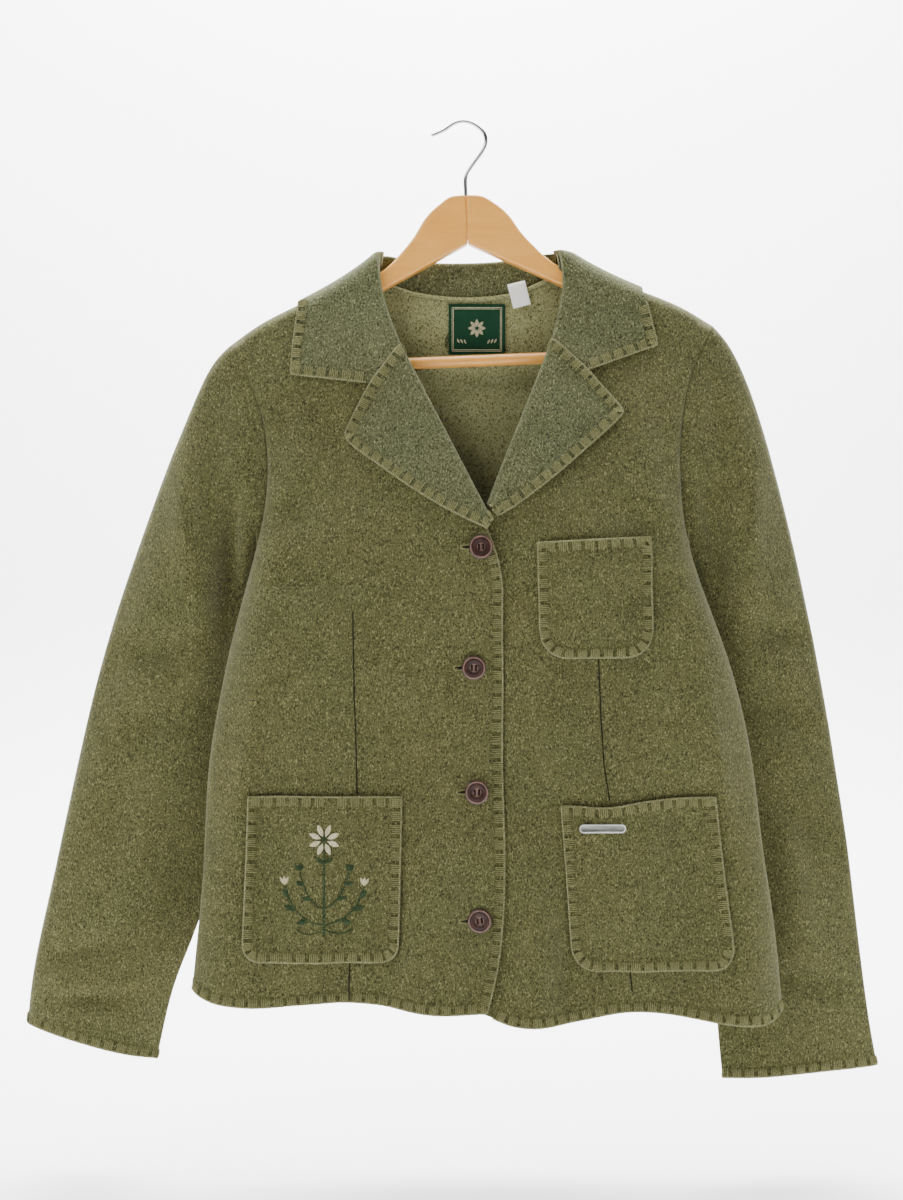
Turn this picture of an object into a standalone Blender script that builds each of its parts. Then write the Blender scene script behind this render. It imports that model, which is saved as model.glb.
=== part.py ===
"""Olive boiled-wool country jacket on a wooden hanger, as separate closed solids.

Wearer's right is -X, wearer's left is +X, the front faces -Y and +Z is up.  Heights in the
tables are millimetres from the centre of the hook's wire.  The origin is half a wire lower,
at the inside of the hook's top, which carries the weight.
"""

import bpy
import bmesh
from math import cos, pi, radians, sin, sqrt
from mathutils import Vector
from mathutils.bvhtree import BVHTree

MM = 0.001

# Cloth
WALL = 2.5
SEAM = 0.3
UNDER_LAPEL = 0.9
ROLL_RADIUS = 4.2
ROLL_DEPTH = 1.2
BACK_DRAW = 2.0
RIDGE_LIFT = 1.4
COLLAR_PUFF = 4.5
COLLAR_OPEN = radians(55)
COLLAR_IN = 0.2
COLLAR_UP = 0.8
RIDGE_STAND = 12.5
RIDGE_LEAN = 1.6
BACK_LEAN = 1.2
BACK_DIP = 6.0
BACK_PUFF = 0.8
OVERLAP = 6.4
OVERLAP_EASE = 2.9
LAPEL_RADIUS = {"right": 4.2, "left": 4.8}
ROLL_LEGS = (9.0, 9.0, 7.0, 4.8)
RIDGE = 13.5
SIDE_ROUND = 30.0
CENTRE = 6.0
POCKET_WALL = 2.2
PATCH_CLEAR = 1.2

# Hanger
TILT = radians(2.3)
WOOD = 14.0
WOOD_EDGE = 2.5
BAR_DIAMETER = 10.5
BAR_HEIGHT = -211.4
BAR_END = 171.4
HOOK_WIRE = 3.5
SHANK_END = -90.0
SHANK_CLEAR = 0.3

# Buttons, badge and labels
BUTTON_DIAMETER = 20.5
BUTTON_HEIGHT = 4.4
BUTTON_HOLE = 2.0
BUTTON_HOLE_PITCH = 3.6
BUTTON_CLEAR = 0.5
BADGE_SIZE = (40.0, 7.6, 1.6)
BADGE_PLACE = (119.0, -617.0)
LABEL_SIZE = (50.0, 44.0, 0.8)
LABEL_CENTRE = (12.4, -181.0)
LABEL_CLEAR = 0.7
CARE_SIZE = (16.0, 22.0, 0.6)
CARE_TOP = (47.0, 10.95, -140.8)
CARE_SLANT = 14.0

# Shoulder line in the hanger's own upright frame: distance from the centre, height
SHOULDER = ((80, -125.7), (110, -138.7), (150, -155.4), (185, -171.4), (212, -189.0))

# Armhole and side seam: height, x, y of the front edge, y of the back edge
EDGE = {
    "right": ((-197.3, -204.2, 0, 0), (-198.3, -203.7, -5.2, 5.2), (-201.3, -202.2, -9.5, 9.5),
              (-206, -199.2, -12.2, 12.2), (-218, -192, -14, 13), (-242, -181, -17, 16),
              (-265, -173, -20, 18), (-294, -169, -21, 19), (-318, -169, -20, 18),
              (-342, -172, -17, 15), (-365, -177, -12, 8), (-384, -183, -6, -6),
              (-390, -184.6, -6.9, -6.9), (-430, -195, -13, -13), (-478, -206, -19, -19), (-578, -222, -23, -23),
              (-657, -225, -25, -25), (-722, -231, -27, -27), (-775, -236, -28, -28)),
    "left": ((-180.3, 219.4, 0, 0), (-181.3, 218.9, -5.2, 5.2), (-184.3, 217.5, -9.5, 9.5),
             (-189, 215.2, -12.2, 12.2), (-203, 208, -14, 13), (-222, 199, -17, 16),
             (-242, 193, -20, 18), (-275, 189, -21, 19), (-310, 188, -20, 18),
             (-340, 190, -17, 15), (-366, 195, -12, 8), (-386, 200, -6, -6),
             (-392, 202.2, -6.9, -6.9), (-442, 220, -14, -14), (-478, 233, -19, -19), (-568, 252, -23, -23),
             (-627, 258, -25, -25), (-700, 269, -27, -27), (-785, 277, -28, -28)),
}

# Neck edge, roll line and front edge of each front: height, x
FRONT_EDGE = {
    "right": ((-128.8, -75), (-131.6, -77.4), (-135, -78.2), (-146, -78), (-160, -75.5), (-172, -71.5),
              (-200, -58.2), (-300, -10.5),
              (-350, 16), (-360, 25), (-366, 30.5), (-372, 33.5), (-381, 34.8), (-415, 34),
              (-440, 32.5), (-480, 34), (-560, 33), (-647, 35.5), (-713, 33), (-745, 28.5),
              (-772, 20)),
    "left": ((-122.4, 85), (-125, 87.8), (-130, 91), (-140, 93), (-150, 93), (-170, 89.5), (-195, 81.5),
             (-268, 55.2), (-343, 24.8),
             (-366, 8), (-385, -7), (-400, -10), (-790, -10)),
}

# Hem: x, height
HEM = ((-236, -756), (-228, -762), (-211, -768), (-184, -771), (-131, -767), (-100, -765.5),
       (-55, -769), (-36, -774), (-8, -776), (14, -772), (30, -781), (44, -788), (79, -785),
       (118, -778), (150, -773.5), (187, -777), (232, -784), (258, -785), (277, -774))
SIDE_HEM = {"right": ((0, -756),), "left": ((0, -774),)}
SEAM_REACH = 70.0
BACK_HEM = ((-236, -756), (-180, -766), (20, -772), (200, -778), (277, -774))

# Depth gained below the shoulder line: distance down, depth
CHEST = ((0, 0), (13.5, 0), (40, 4), (80, 11), (140, 21), (200, 29), (260, 32), (350, 28),
         (450, 26), (550, 29), (660, 32))
SHOULDER_BLADES = ((0, 0), (13.5, 0), (30, 1), (80, 7), (150, 11), (250, 14), (400, 12),
                   (660, 14))

# Soft flutes that grow towards the hem: x, depth at the hem (minus is forward)
FLUTES = ((-236, 0), (-190, -4), (-140, 2), (-100, 6), (-60, -3), (-36, -8), (0, -4),
          (44, -8), (95, 1), (150, 7), (200, -1), (238, -5), (277, 0))
BACK_FLUTES = ((-236, 0), (-150, 3), (-95, -5), (-40, 3), (12, 5), (70, 2), (130, -5),
               (190, 3), (277, 0))

# Share of the back's depth reached inward from the side seam, where a sleeve lies behind
BACK_SIDE = ((0, 0), (1.5, 0.13), (5, 0.2), (10, 0.25), (25, 0.31), (50, 0.38), (80, 0.62),
             (120, 0.92),
             (150, 1))

# Back neck seam: x, height
BACK_NECK = ((-75, -128.8), (-73.6, -137), (-67, -144.5), (-40, -152.5), (9, -156),
             (50, -150.5), (77, -138.5), (83.6, -131), (85, -122.4))

# Sleeves, ring by ring from the armhole: outer x and height, inner x and height,
# middle depth, half depth, and how far the ring bows towards the body
SLEEVE = {
    "right": ((-223, -214, -184.5, -385, 0, 22, 17), (-243, -262, -186, -390, 1, 27, 10),
              (-262, -310, -188, -399, 4, 30, 5), (-280, -355, -190, -414, 8, 31, 2),
              (-295, -396, -194, -440, 12, 29, 0), (-311, -442, -199, -486, 15, 27, 0),
              (-330, -510, -205, -550, 17, 24, 0), (-348, -590, -214, -629, 17, 22, 0),
              (-363, -665, -231, -703, 15, 21, 0), (-376, -722, -255.5, -756, 13, 20, 0),
              (-383, -762, -265, -798, 12, 19, 0), (-385.5, -794, -271, -827, 12, 19, 0)),
    "left": ((235, -196, 201.5, -387, 0, 22, 17), (251, -230, 202.5, -391, 2, 27, 10),
             (266, -276, 204, -400, 6, 30, 5), (280, -322, 206, -416, 11, 30, 2),
             (293, -370, 209, -440, 16, 27, 0), (308, -437, 214, -478, 19, 24, 0),
             (322, -508, 219, -540, 20, 20, 0), (334, -585, 222, -612, 18, 18, 0),
             (344, -655, 223, -680, 16, 16, 0), (351, -722, 223, -745, 14, 14, 0),
             (360, -795, 226, -808, 12, 12, 0), (367, -832, 230, -844, 11, 11, 0)),
}

# Rows of the panels: over the shoulder, down to the hem, and down to the armpit
OVER_ROWS = 4
DOWN_ROWS = 15
PIT_ROW = 9

# Turned-back lapels: roll point, middle point and outer point, each x and height
LAPEL = {
    "right": ((-53.0, -200.6, -80.3, -235.2, -101.5, -277.0),
              (-40.5, -225, -75, -262, -99.0, -285.0),
              (-20, -265, -52, -294, -78, -301),
              (-2, -300, -22, -320, -40, -328),
              (14.5, -332, 4, -341, -5, -348),
              (25.0, -352.0, 22.5, -356.0, 20.0, -359.5)),
    "left": ((76.0, -195.6, 107.3, -223.2, 137.5, -258.5),
             (67.5, -218, 100, -248, 134.0, -265.0),
             (53, -255, 82, -277, 110, -287),
             (38, -292, 55, -306, 72, -320),
             (26, -323, 36, -332, 44, -342),
             (19.8, -339.0, 25.0, -344.0, 29.5, -349.0)),
}

# Collar from the gorge to the shoulder: roll point, middle and outer edge on the front
COLLAR_FRONT = {
    "right": ((-53.4, -199.9, -80.9, -234.2, -149.0, -226.0),
              (-61.5, -180, -103, -207, -148.5, -212.0),
              (-69.0, -158, -107, -184, -147.0, -196.0),
              (-71.3, -144, -108, -168, -145.5, -182.0)),
    "left": ((76.4, -194.9, 108.0, -222.0, 168.3, -200.0),
             (81.5, -177, 124, -197, 166.5, -191.0),
             (86.5, -153, 124, -173, 163.5, -179.0),
             (86.8, -138, 123, -155, 161.0, -166.0)),
}
COLLAR_STAND = 28.0
RIDGE_TURNS = (-72, -36, 0, 36, 72)
COLLAR_RIDGE = {"right": (-104, -143.5), "left": (115, 157.0)}

# Collar over the back: foot x, then middle and outer edge of the fall, each x and height
COLLAR_BACK = ((-70.5, -96, -166, -132, -188), (-42, -54, -162, -78, -196),
               (9, 9, -163, 9, -198), (52, 64, -158, 92, -192), (79.5, 107, -158, 144, -178))

# Patch pockets on the fronts: mouth left, mouth right, lower right, lower left, corner radius
POCKETS = {
    "pocket_chest": ("left", (63.5, -373, 160.5, -368, 162.5, -470, 66.5, -471), 22),
    "pocket_hip_right": ("right", (-183.5, -590, -53, -591, -55, -731, -189, -731), 15),
    "pocket_hip_left": ("left", (84, -598, 215, -590, 233, -738, 94, -740), 20),
}
BUTTONS = ((15.1, -376.2), (9.1, -479.6), (11.7, -586.5), (14.3, -695.9))

HOOK = ((0, -90), (0, -64), (0, -50), (3.6, -43.3), (9.5, -35.6), (15.6, -27.9), (19.4, -20),
        (19, -12.5), (14.1, -6.5), (7, -1.6), (-0.9, 0), (-9, -2.2), (-16.8, -7.4),
        (-26.9, -11.2))

ARM = ((0.15, -64.2), (12, -65), (18.5, -69.5), (30.4, -78.3), (38.3, -87), (43.6, -96),
       (50, -105), (58, -113.5), (66, -122.3), (80, -133.4), (110, -146), (150, -162.6),
       (185, -179.6), (195, -186.5), (199, -194), (199, -213), (194, -221), (172, -222),
       (172, -202), (160, -191), (135, -177), (78, -147.5), (0.15, -108.9))

COLOURS = {
    "boiled_wool": ((0.125, 0.135, 0.062), 0.95, 0.0),
    "beech": ((0.62, 0.36, 0.16), 0.45, 0.0),
    "chrome": ((0.75, 0.75, 0.76), 0.18, 1.0),
    "horn_brown": ((0.045, 0.018, 0.012), 0.3, 0.0),
    "silver": ((0.55, 0.55, 0.55), 0.3, 1.0),
    "green_label": ((0.01, 0.07, 0.035), 0.8, 0.0),
    "white_label": ((0.8, 0.8, 0.78), 0.7, 0.0),
}


def clear_scene():
    for item in list(bpy.data.objects):
        bpy.data.objects.remove(item, do_unlink=True)


def material(name):
    found = bpy.data.materials.get(name)
    if found:
        return found
    colour, roughness, metallic = COLOURS[name]
    made = bpy.data.materials.new(name)
    made.use_nodes = True
    shader = made.node_tree.nodes["Principled BSDF"]
    shader.inputs["Base Color"].default_value = (*colour, 1.0)
    shader.inputs["Roughness"].default_value = roughness
    shader.inputs["Metallic"].default_value = metallic
    return made


def smooth_step(t):
    t = min(max(t, 0.0), 1.0)
    return t * t * (3 - 2 * t)


def round_over(t):
    """Height of a quarter circle at a distance t in from its edge, both as shares."""
    t = min(max(t, 0.0), 1.0)
    return sqrt(1 - (1 - t) ** 2)


def lookup(table, at):
    """Read a table sorted by its first column, with smooth values between its rows."""
    rows = table if table[0][0] < table[-1][0] else table[::-1]
    if at <= rows[0][0]:
        return rows[0][1:]
    if at >= rows[-1][0]:
        return rows[-1][1:]
    i = max(k for k in range(len(rows) - 1) if rows[k][0] <= at)
    before, low, high = rows[max(i - 1, 0)], rows[i], rows[i + 1]
    after = rows[min(i + 2, len(rows) - 1)]
    span = high[0] - low[0]
    t = (at - low[0]) / span
    values = []
    for k in range(1, len(low)):
        rise = (high[k] - low[k]) / span
        rise_before = (low[k] - before[k]) / (low[0] - before[0]) if low is not before else rise
        rise_after = (after[k] - high[k]) / (after[0] - high[0]) if high is not after else rise
        start = 0.0 if rise * rise_before <= 0 else 2 * rise * rise_before / (rise + rise_before)
        end = 0.0 if rise * rise_after <= 0 else 2 * rise * rise_after / (rise + rise_after)
        values.append(low[k] * (1 + 2 * t) * (1 - t) ** 2 + start * span * t * (1 - t) ** 2
                      + high[k] * t * t * (3 - 2 * t) - end * span * t * t * (1 - t))
    return values


def hang(x, z):
    """Turn a point of the upright hanger to its tilt about the hook's top."""
    return x * cos(TILT) - z * sin(TILT), x * sin(TILT) + z * cos(TILT)


RIDGE_LINE = tuple([hang(-x, z) for x, z in reversed(SHOULDER)] + [hang(x, z) for x, z in SHOULDER])


def ridge_z(x):
    return lookup(RIDGE_LINE, x)[0]


def back_top(x):
    if BACK_NECK[0][0] < x < BACK_NECK[-1][0]:
        return lookup(BACK_NECK, x)[0]
    return ridge_z(x)


def half_of(x):
    return "right" if x < CENTRE else "left"


def shell_y(part, x, z):
    """Depth of the outer face of a front or of the back at a place on it."""
    half = half_of(x) if part == "back" else part
    down = max(ridge_z(x) - z, 0.0)
    edge_x, front_edge_y, back_edge_y = lookup(EDGE[half], z)
    inward = max(x - edge_x if half == "right" else edge_x - x, 0.0)
    low = smooth_step((-560 - z) / 200)
    if part == "back":
        plane = RIDGE * round_over(down / RIDGE) + lookup(SHOULDER_BLADES, down)[0]
        plane += lookup(BACK_FLUTES, x)[0] * low
        pressed = smooth_step((-385 - z) / 60)
        share = round_over(inward / SIDE_ROUND) * (1 - pressed)
        share += lookup(BACK_SIDE, inward)[0] * pressed
        return back_edge_y + (plane - back_edge_y) * share + SEAM / 2
    plane = -RIDGE * round_over(down / RIDGE) - lookup(CHEST, down)[0]
    plane += lookup(FLUTES, x)[0] * low
    y = front_edge_y + (plane - front_edge_y) * round_over(inward / SIDE_ROUND)
    if part == "left":
        under = OVERLAP - OVERLAP_EASE * smooth_step((-390 - z) / 40)
        y += under * smooth_step((-285 - z) / 45) * (1 - smooth_step((x - 36) / 24))
    return y - SEAM / 2


def on_shell(part, x, z, lift=0.0):
    """A point lifted off a panel along the panel's own normal."""
    step = 1.0
    slope_x = (shell_y(part, x + step, z) - shell_y(part, x - step, z)) / (2 * step)
    slope_z = (shell_y(part, x, z + step) - shell_y(part, x, z - step)) / (2 * step)
    outward = 1 if part == "back" else -1
    normal = Vector((-slope_x * outward, outward, -slope_z * outward)).normalized()
    return Vector((x, shell_y(part, x, z), z)) + normal * lift


PANELS = {}


def panel_tree(part):
    if part not in PANELS:
        rows = back_rows() if part == "back" else front_rows(part)
        wide = len(rows[0])
        quads = [(r * wide + c, r * wide + c + 1, (r + 1) * wide + c + 1, (r + 1) * wide + c)
                 for r in range(len(rows) - 1) for c in range(wide - 1)]
        PANELS[part] = BVHTree.FromPolygons([p for row in rows for p in row], quads)
    return PANELS[part]


def on_panel(part, x, z, lift):
    """A point lifted off the panel's own facets, or off its smooth form beyond its edge."""
    outward = 1 if part == "back" else -1
    start = Vector((x, outward * 200, z))
    hit = panel_tree(part).ray_cast(start, Vector((0, -outward, 0)))[0]
    smooth = on_shell(part, x, z, lift)
    if hit is not None:
        smooth.y += hit.y - shell_y(part, x, z)
    return smooth


def blend_rows(rows, between):
    """Add rows between the given ones on smooth curves through their points."""
    filled = []
    for i in range(len(rows) - 1):
        p0, p1, p2, p3 = rows[max(i - 1, 0)], rows[i], rows[i + 1], rows[min(i + 2, len(rows) - 1)]
        for k in range(between):
            t = k / between
            filled.append([0.5 * (2 * b + (c - a) * t + (2 * a - 5 * b + 4 * c - d) * t * t
                                  + (3 * b - a - 3 * c + d) * t ** 3)
                           for a, b, c, d in zip(p0, p1, p2, p3)])
    filled.append(list(rows[-1]))
    return filled


def grid_normals(points, closed):
    count, wide = len(points), len(points[0])
    normals = []
    for r in range(count):
        line = []
        for c in range(wide):
            if closed:
                across = points[r][(c + 1) % wide] - points[r][c - 1]
            else:
                across = points[r][min(c + 1, wide - 1)] - points[r][max(c - 1, 0)]
            along = points[min(r + 1, count - 1)][c] - points[max(r - 1, 0)][c]
            line.append(across.cross(along).normalized())
        normals.append(line)
    return normals


def make_object(name, verts, faces, finish):
    mesh = bpy.data.meshes.new(name)
    lift = HOOK_WIRE / 2
    mesh.from_pydata([(v[0] * MM, v[1] * MM, (v[2] + lift) * MM) for v in verts], [], faces)
    work = bmesh.new()
    work.from_mesh(mesh)
    bmesh.ops.recalc_face_normals(work, faces=work.faces)
    work.to_mesh(mesh)
    work.free()
    mesh.shade_smooth()
    mesh.set_sharp_from_angle(angle=radians(40))
    mesh.materials.append(material(finish))
    item = bpy.data.objects.new(name, mesh)
    bpy.context.scene.collection.objects.link(item)
    return item


def wall(name, outer, facing, closed=False, thickness=WALL, finish="boiled_wool", hold=None):
    """Give a sheet of outer points its thickness, and close its rim.

    facing is (row, column, direction): the outer face there looks that way.  hold(row, column)
    names the axes along which a point's inner partner may not move.
    """
    count, wide = len(outer), len(outer[0])
    normals = grid_normals(outer, closed)
    row, column, direction = facing
    sign = 1 if normals[row][column].dot(direction) > 0 else -1
    verts = [p for line in outer for p in line]
    for r in range(count):
        for c in range(wide):
            normal = normals[r][c] * sign
            for axis in (hold(r, c) if hold else ()):
                normal[axis] = 0.0
            verts.append(outer[r][c] - normal.normalized() * thickness)
    inner = count * wide
    last = wide if closed else wide - 1
    faces = []
    for r in range(count - 1):
        for c in range(last):
            a, b = r * wide + c, r * wide + (c + 1) % wide
            faces.append((a, b, b + wide, a + wide))
            faces.append((inner + a, inner + a + wide, inner + b + wide, inner + b))
    for c in range(last):
        for r in (0, count - 1):
            a, b = r * wide + c, r * wide + (c + 1) % wide
            faces.append((a, b, inner + b, inner + a))
    if not closed:
        for r in range(count - 1):
            for c in (0, wide - 1):
                a = r * wide + c
                faces.append((a, a + wide, inner + a + wide, inner + a))
    return make_object(name, verts, faces, finish)


def row_levels():
    """Rows over the rounded shoulder, then evenly down to the hem: (drop, share)."""
    over = [(RIDGE * (1 - cos(pi / 2 * k / OVER_ROWS)), 0.0) for k in range(OVER_ROWS + 1)]
    return over + [(RIDGE, (k + 1) / DOWN_ROWS) for k in range(DOWN_ROWS)]


def settle(level, edge, top, hem):
    """Find where a row meets an edge that is given by height."""
    drop, share = level
    z = -300.0
    for _ in range(30):
        x = lookup(edge, z)[0]
        z = (top(x) - drop) * (1 - share) + lookup(hem, x)[0] * share
    return lookup(edge, z)[0], z


def row_height(level, x, top, hem):
    drop, share = level
    return (top(x) - drop) * (1 - share) + lookup(hem, x)[0] * share


def seam_end(level, half):
    """Where a row ends on the armhole or side seam, the same for the front and the back."""
    return settle(level, EDGE[half], ridge_z, SIDE_HEM[half])


def drawn_to(z, x, end, reach=SEAM_REACH):
    """Ease a row's height towards its seam end, given as (x, z, height without easing)."""
    near = 1 - smooth_step(abs(x - end[0]) / reach)
    return z + (end[1] - end[2]) * near


def front_rows(half, columns=11, turns=5):
    outward = -1 if half == "right" else 1
    rows = []
    for level in row_levels():
        inner_x = settle(level, FRONT_EDGE[half], ridge_z, HEM)[0]
        outer_x, outer_z = seam_end(level, half)
        end = (outer_x, outer_z, row_height(level, outer_x, ridge_z, HEM))
        flat_end = outer_x - outward * SIDE_ROUND
        xs = [inner_x + (flat_end - inner_x) * k / columns for k in range(columns)]
        xs += [outer_x - outward * SIDE_ROUND * (1 - cos(pi / 2 * (1 - k / turns)))
               for k in range(turns + 1)]
        line = []
        for x in xs:
            z = drawn_to(row_height(level, x, ridge_z, HEM), x, end)
            line.append(Vector((x, shell_y(half, x, z), z)))
        rows.append(line)
    return rows


def make_front(half):
    rows = front_rows(half)
    last = len(rows[0]) - 1

    def hold(r, c):
        if r == 0:
            return (1,)
        if c == last:
            return (0,) if r < PIT_ROW else (1,)
        return ()

    wall("front_" + half, rows, (len(rows) // 2, 4, Vector((0, -1, 0))), hold=hold)


def back_rows(columns=4, turns=5):
    neck = [x for x, _ in BACK_NECK]
    neck = neck[:4] + [-15.0] + neck[4:5] + [30.0] + neck[5:]
    rows = []
    for level in row_levels():
        ends = []
        for half in ("right", "left"):
            x, z = seam_end(level, half)
            ends.append((x, z, row_height(level, x, back_top, BACK_HEM)))
        start, stop = ends[0][0] + SIDE_ROUND, ends[1][0] - SIDE_ROUND
        turn = [SIDE_ROUND * (1 - cos(pi / 2 * k / turns)) for k in range(turns)]
        flat = [start + (neck[0] - start) * k / columns for k in range(columns)] + neck
        flat += [neck[-1] + (stop - neck[-1]) * (k + 1) / columns for k in range(columns)]
        evenly = [start + (stop - start) * k / (len(flat) - 1) for k in range(len(flat))]
        spread = smooth_step(level[1] * 3)
        xs = [ends[0][0] + t for t in turn]
        xs += [f + (e - f) * spread for f, e in zip(flat, evenly)]
        xs += [ends[1][0] - t for t in reversed(turn)]
        line = []
        for x in xs:
            end = ends[0] if x < CENTRE else ends[1]
            z = drawn_to(row_height(level, x, back_top, BACK_HEM), x, end)
            line.append(Vector((x, shell_y("back", x, z), z)))
        rows.append(line)
    return rows


def make_back():
    rows = back_rows()
    last = len(rows[0]) - 1

    def hold(r, c):
        if c in (0, last) and r:
            return (0,) if r < PIT_ROW else (1,)
        on_shoulder = not BACK_NECK[0][0] + 1 < rows[r][c].x < BACK_NECK[-1][0] - 1
        return (1,) if r == 0 and on_shoulder else ()

    wall("back", rows, (len(rows) // 2, last // 2, Vector((0, 1, 0))), hold=hold)


def armhole_loop(half):
    """The armhole's edge as the panels have it: down the front, then up the back."""
    levels = row_levels()[:PIT_ROW + 1]
    heights = [seam_end(level, half)[1] for level in levels]
    loop = []
    for face, order in ((1, heights), (2, heights[-2:0:-1])):
        for z in order:
            values = lookup(EDGE[half], z)
            y = 0.0 if z == heights[0] else values[face] + (SEAM / 2 if face == 2 else -SEAM / 2)
            loop.append(Vector((values[0], y, z)))
    return loop


def sleeve_rows(half, between=1):
    outward = -1 if half == "right" else 1
    loop = armhole_loop(half)
    top, pit = loop[0].z, loop[PIT_ROW].z
    rows = [[p + Vector((outward * SEAM, 0, 0)) for p in loop]]
    for outer_x, outer_z, inner_x, inner_z, middle, half_depth, bow in SLEEVE[half]:
        line = []
        for k, p in enumerate(loop):
            share = (p.z - pit) / (top - pit)
            side = 2 * sqrt(max(share * (1 - share), 0.0)) * (1 if k <= PIT_ROW else -1)
            x = inner_x + (outer_x - inner_x) * share - outward * bow * side * side
            z = inner_z + (outer_z - inner_z) * share
            line.append(Vector((x, middle - half_depth * side, z)))
        rows.append(line)
    return blend_rows(rows, between) if between > 1 else rows


def make_sleeve(half):
    rows = sleeve_rows(half)
    middle = sum(rows[8], Vector()) / len(rows[8])

    def hold(r, c):
        return (0,) if r == 0 else ()

    wall("sleeve_" + half, rows, (8, 0, rows[8][0] - middle), closed=True, hold=hold)


def roll_section(part, roll, away, leg, radius=ROLL_RADIUS):
    """The leg behind a front's edge and the turn round it, as points across the roll line."""
    turn = [(leg, -ROLL_DEPTH - radius)]
    for k in range(6):
        angle = pi * k / 5
        turn.append((radius - radius * sin(angle), -ROLL_DEPTH - radius * cos(angle)))
    return [on_panel(part, roll[0] + away[0] * u, roll[1] + away[1] * u, w) for u, w in turn]


def away_from_roll(points, index, half):
    before, after = points[max(index - 1, 0)], points[min(index + 1, len(points) - 1)]
    along = Vector((after[0] - before[0], after[1] - before[1])).normalized()
    away = Vector((along.y, -along.x))
    outward = -1 if half == "right" else 1
    return away if away.x * outward > 0 else -away


def turned_back_rows(half, table, legs, radius=ROLL_RADIUS, count=3):
    """Rows across a roll line: behind the edge, round it, and out by way of a middle point."""
    lift = UNDER_LAPEL + WALL + 2 * (radius - ROLL_RADIUS)
    rows = []
    for i, (rx, rz, mx, mz, ex, ez) in enumerate(table):
        away = away_from_roll(table, i, half)
        line = roll_section(half, (rx, rz), away, legs[min(i, len(legs) - 1)], radius)
        start = Vector((rx, rz)) + away * radius
        for low, high in ((start, Vector((mx, mz))), (Vector((mx, mz)), Vector((ex, ez)))):
            for k in range(1, count + 1):
                p = low.lerp(high, k / count)
                line.append(on_panel(half, p.x, p.y, lift))
        rows.append(line)
    return rows


def lapel_rows(half, between=1):
    rows = turned_back_rows(half, LAPEL[half], ROLL_LEGS[:1], LAPEL_RADIUS[half])
    return blend_rows(rows, between)


def make_lapel(half):
    rows = lapel_rows(half, between=2)
    wall("lapel_" + half, rows, (4, len(rows[0]) - 2, Vector((0, -1, 0))))


def turn_row(foot, centre, out, sweep=pi):
    """Stand and turn of the collar, with its outer side towards the neck."""
    up = Vector((0, 0, 1))
    line = [foot]
    for k in range(6):
        angle = sweep * k / 5
        line.append(centre - out * (ROLL_RADIUS * cos(angle)) + up * (ROLL_RADIUS * sin(angle)))
    return line


def fall_points(start, middle, end, count=6):
    line = []
    for k in range(1, count + 1):
        t = k / count
        a, b, c = (1 - t) * (1 - 2 * t), 4 * t * (1 - t), t * (2 * t - 1)
        line.append(start * a + middle * b + end * c)
    return line


def over_ridge(x, turn, lift):
    """A point above the rounded shoulder, at an angle from its top towards the back."""
    return Vector((x, (RIDGE + lift) * sin(turn), ridge_z(x) - RIDGE + (RIDGE + lift) * cos(turn)))


def collar_ridge_row(half, turn):
    """A row that passes over the shoulder, above the hanger's arm."""
    side = -1 if half == "right" else 1
    neck = RIDGE_LINE[4] if half == "right" else RIDGE_LINE[5]
    out = Vector((side * cos(turn), sin(turn), 0))
    edge = over_ridge(neck[0] - side * max(0.0, sin(turn)) * BACK_DRAW, turn, 0)
    foot = edge - out * (WALL + COLLAR_IN) + Vector((0, 0, COLLAR_UP))
    centre = edge - out * RIDGE_LEAN + Vector((0, 0, RIDGE_STAND))
    above = cos(turn) ** 2
    line = turn_row(foot, centre, out, pi - COLLAR_OPEN * above)
    middle_x, end_x = COLLAR_RIDGE[half]
    lift = UNDER_LAPEL + WALL + RIDGE_LIFT
    return line + fall_points(line[-1], over_ridge(middle_x, turn, lift + COLLAR_PUFF * above),
                              over_ridge(end_x, turn, lift))


def collar_back_row(foot_x, middle_x, middle_z, end_x, end_z):
    foot_z = back_top(foot_x)
    away = (foot_x - COLLAR_BACK[2][0]) / 90
    out = Vector((away, 1, 0)).normalized()
    edge = Vector((foot_x, shell_y("back", foot_x, foot_z), foot_z))
    foot = edge - out * (WALL + COLLAR_IN) + Vector((0, 0, COLLAR_UP))
    stand = COLLAR_STAND - ROLL_RADIUS - abs(away) * BACK_DIP
    centre = edge + out * BACK_LEAN + Vector((0, 0, stand))
    line = turn_row(foot, centre, out)
    lift = UNDER_LAPEL + WALL
    return line + fall_points(line[-1], on_panel("back", middle_x, middle_z, lift + BACK_PUFF),
                              on_panel("back", end_x, end_z, lift))


def collar_rows():
    rows = turned_back_rows("right", COLLAR_FRONT["right"], ROLL_LEGS)
    rows += [collar_ridge_row("right", radians(turn)) for turn in RIDGE_TURNS]
    rows += [collar_back_row(*values) for values in COLLAR_BACK]
    rows += [collar_ridge_row("left", radians(turn)) for turn in reversed(RIDGE_TURNS)]
    rows += reversed(turned_back_rows("left", COLLAR_FRONT["left"], ROLL_LEGS))
    return rows


def make_collar():
    wall("collar", collar_rows(), (1, 10, Vector((0, -1, 0))))


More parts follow.
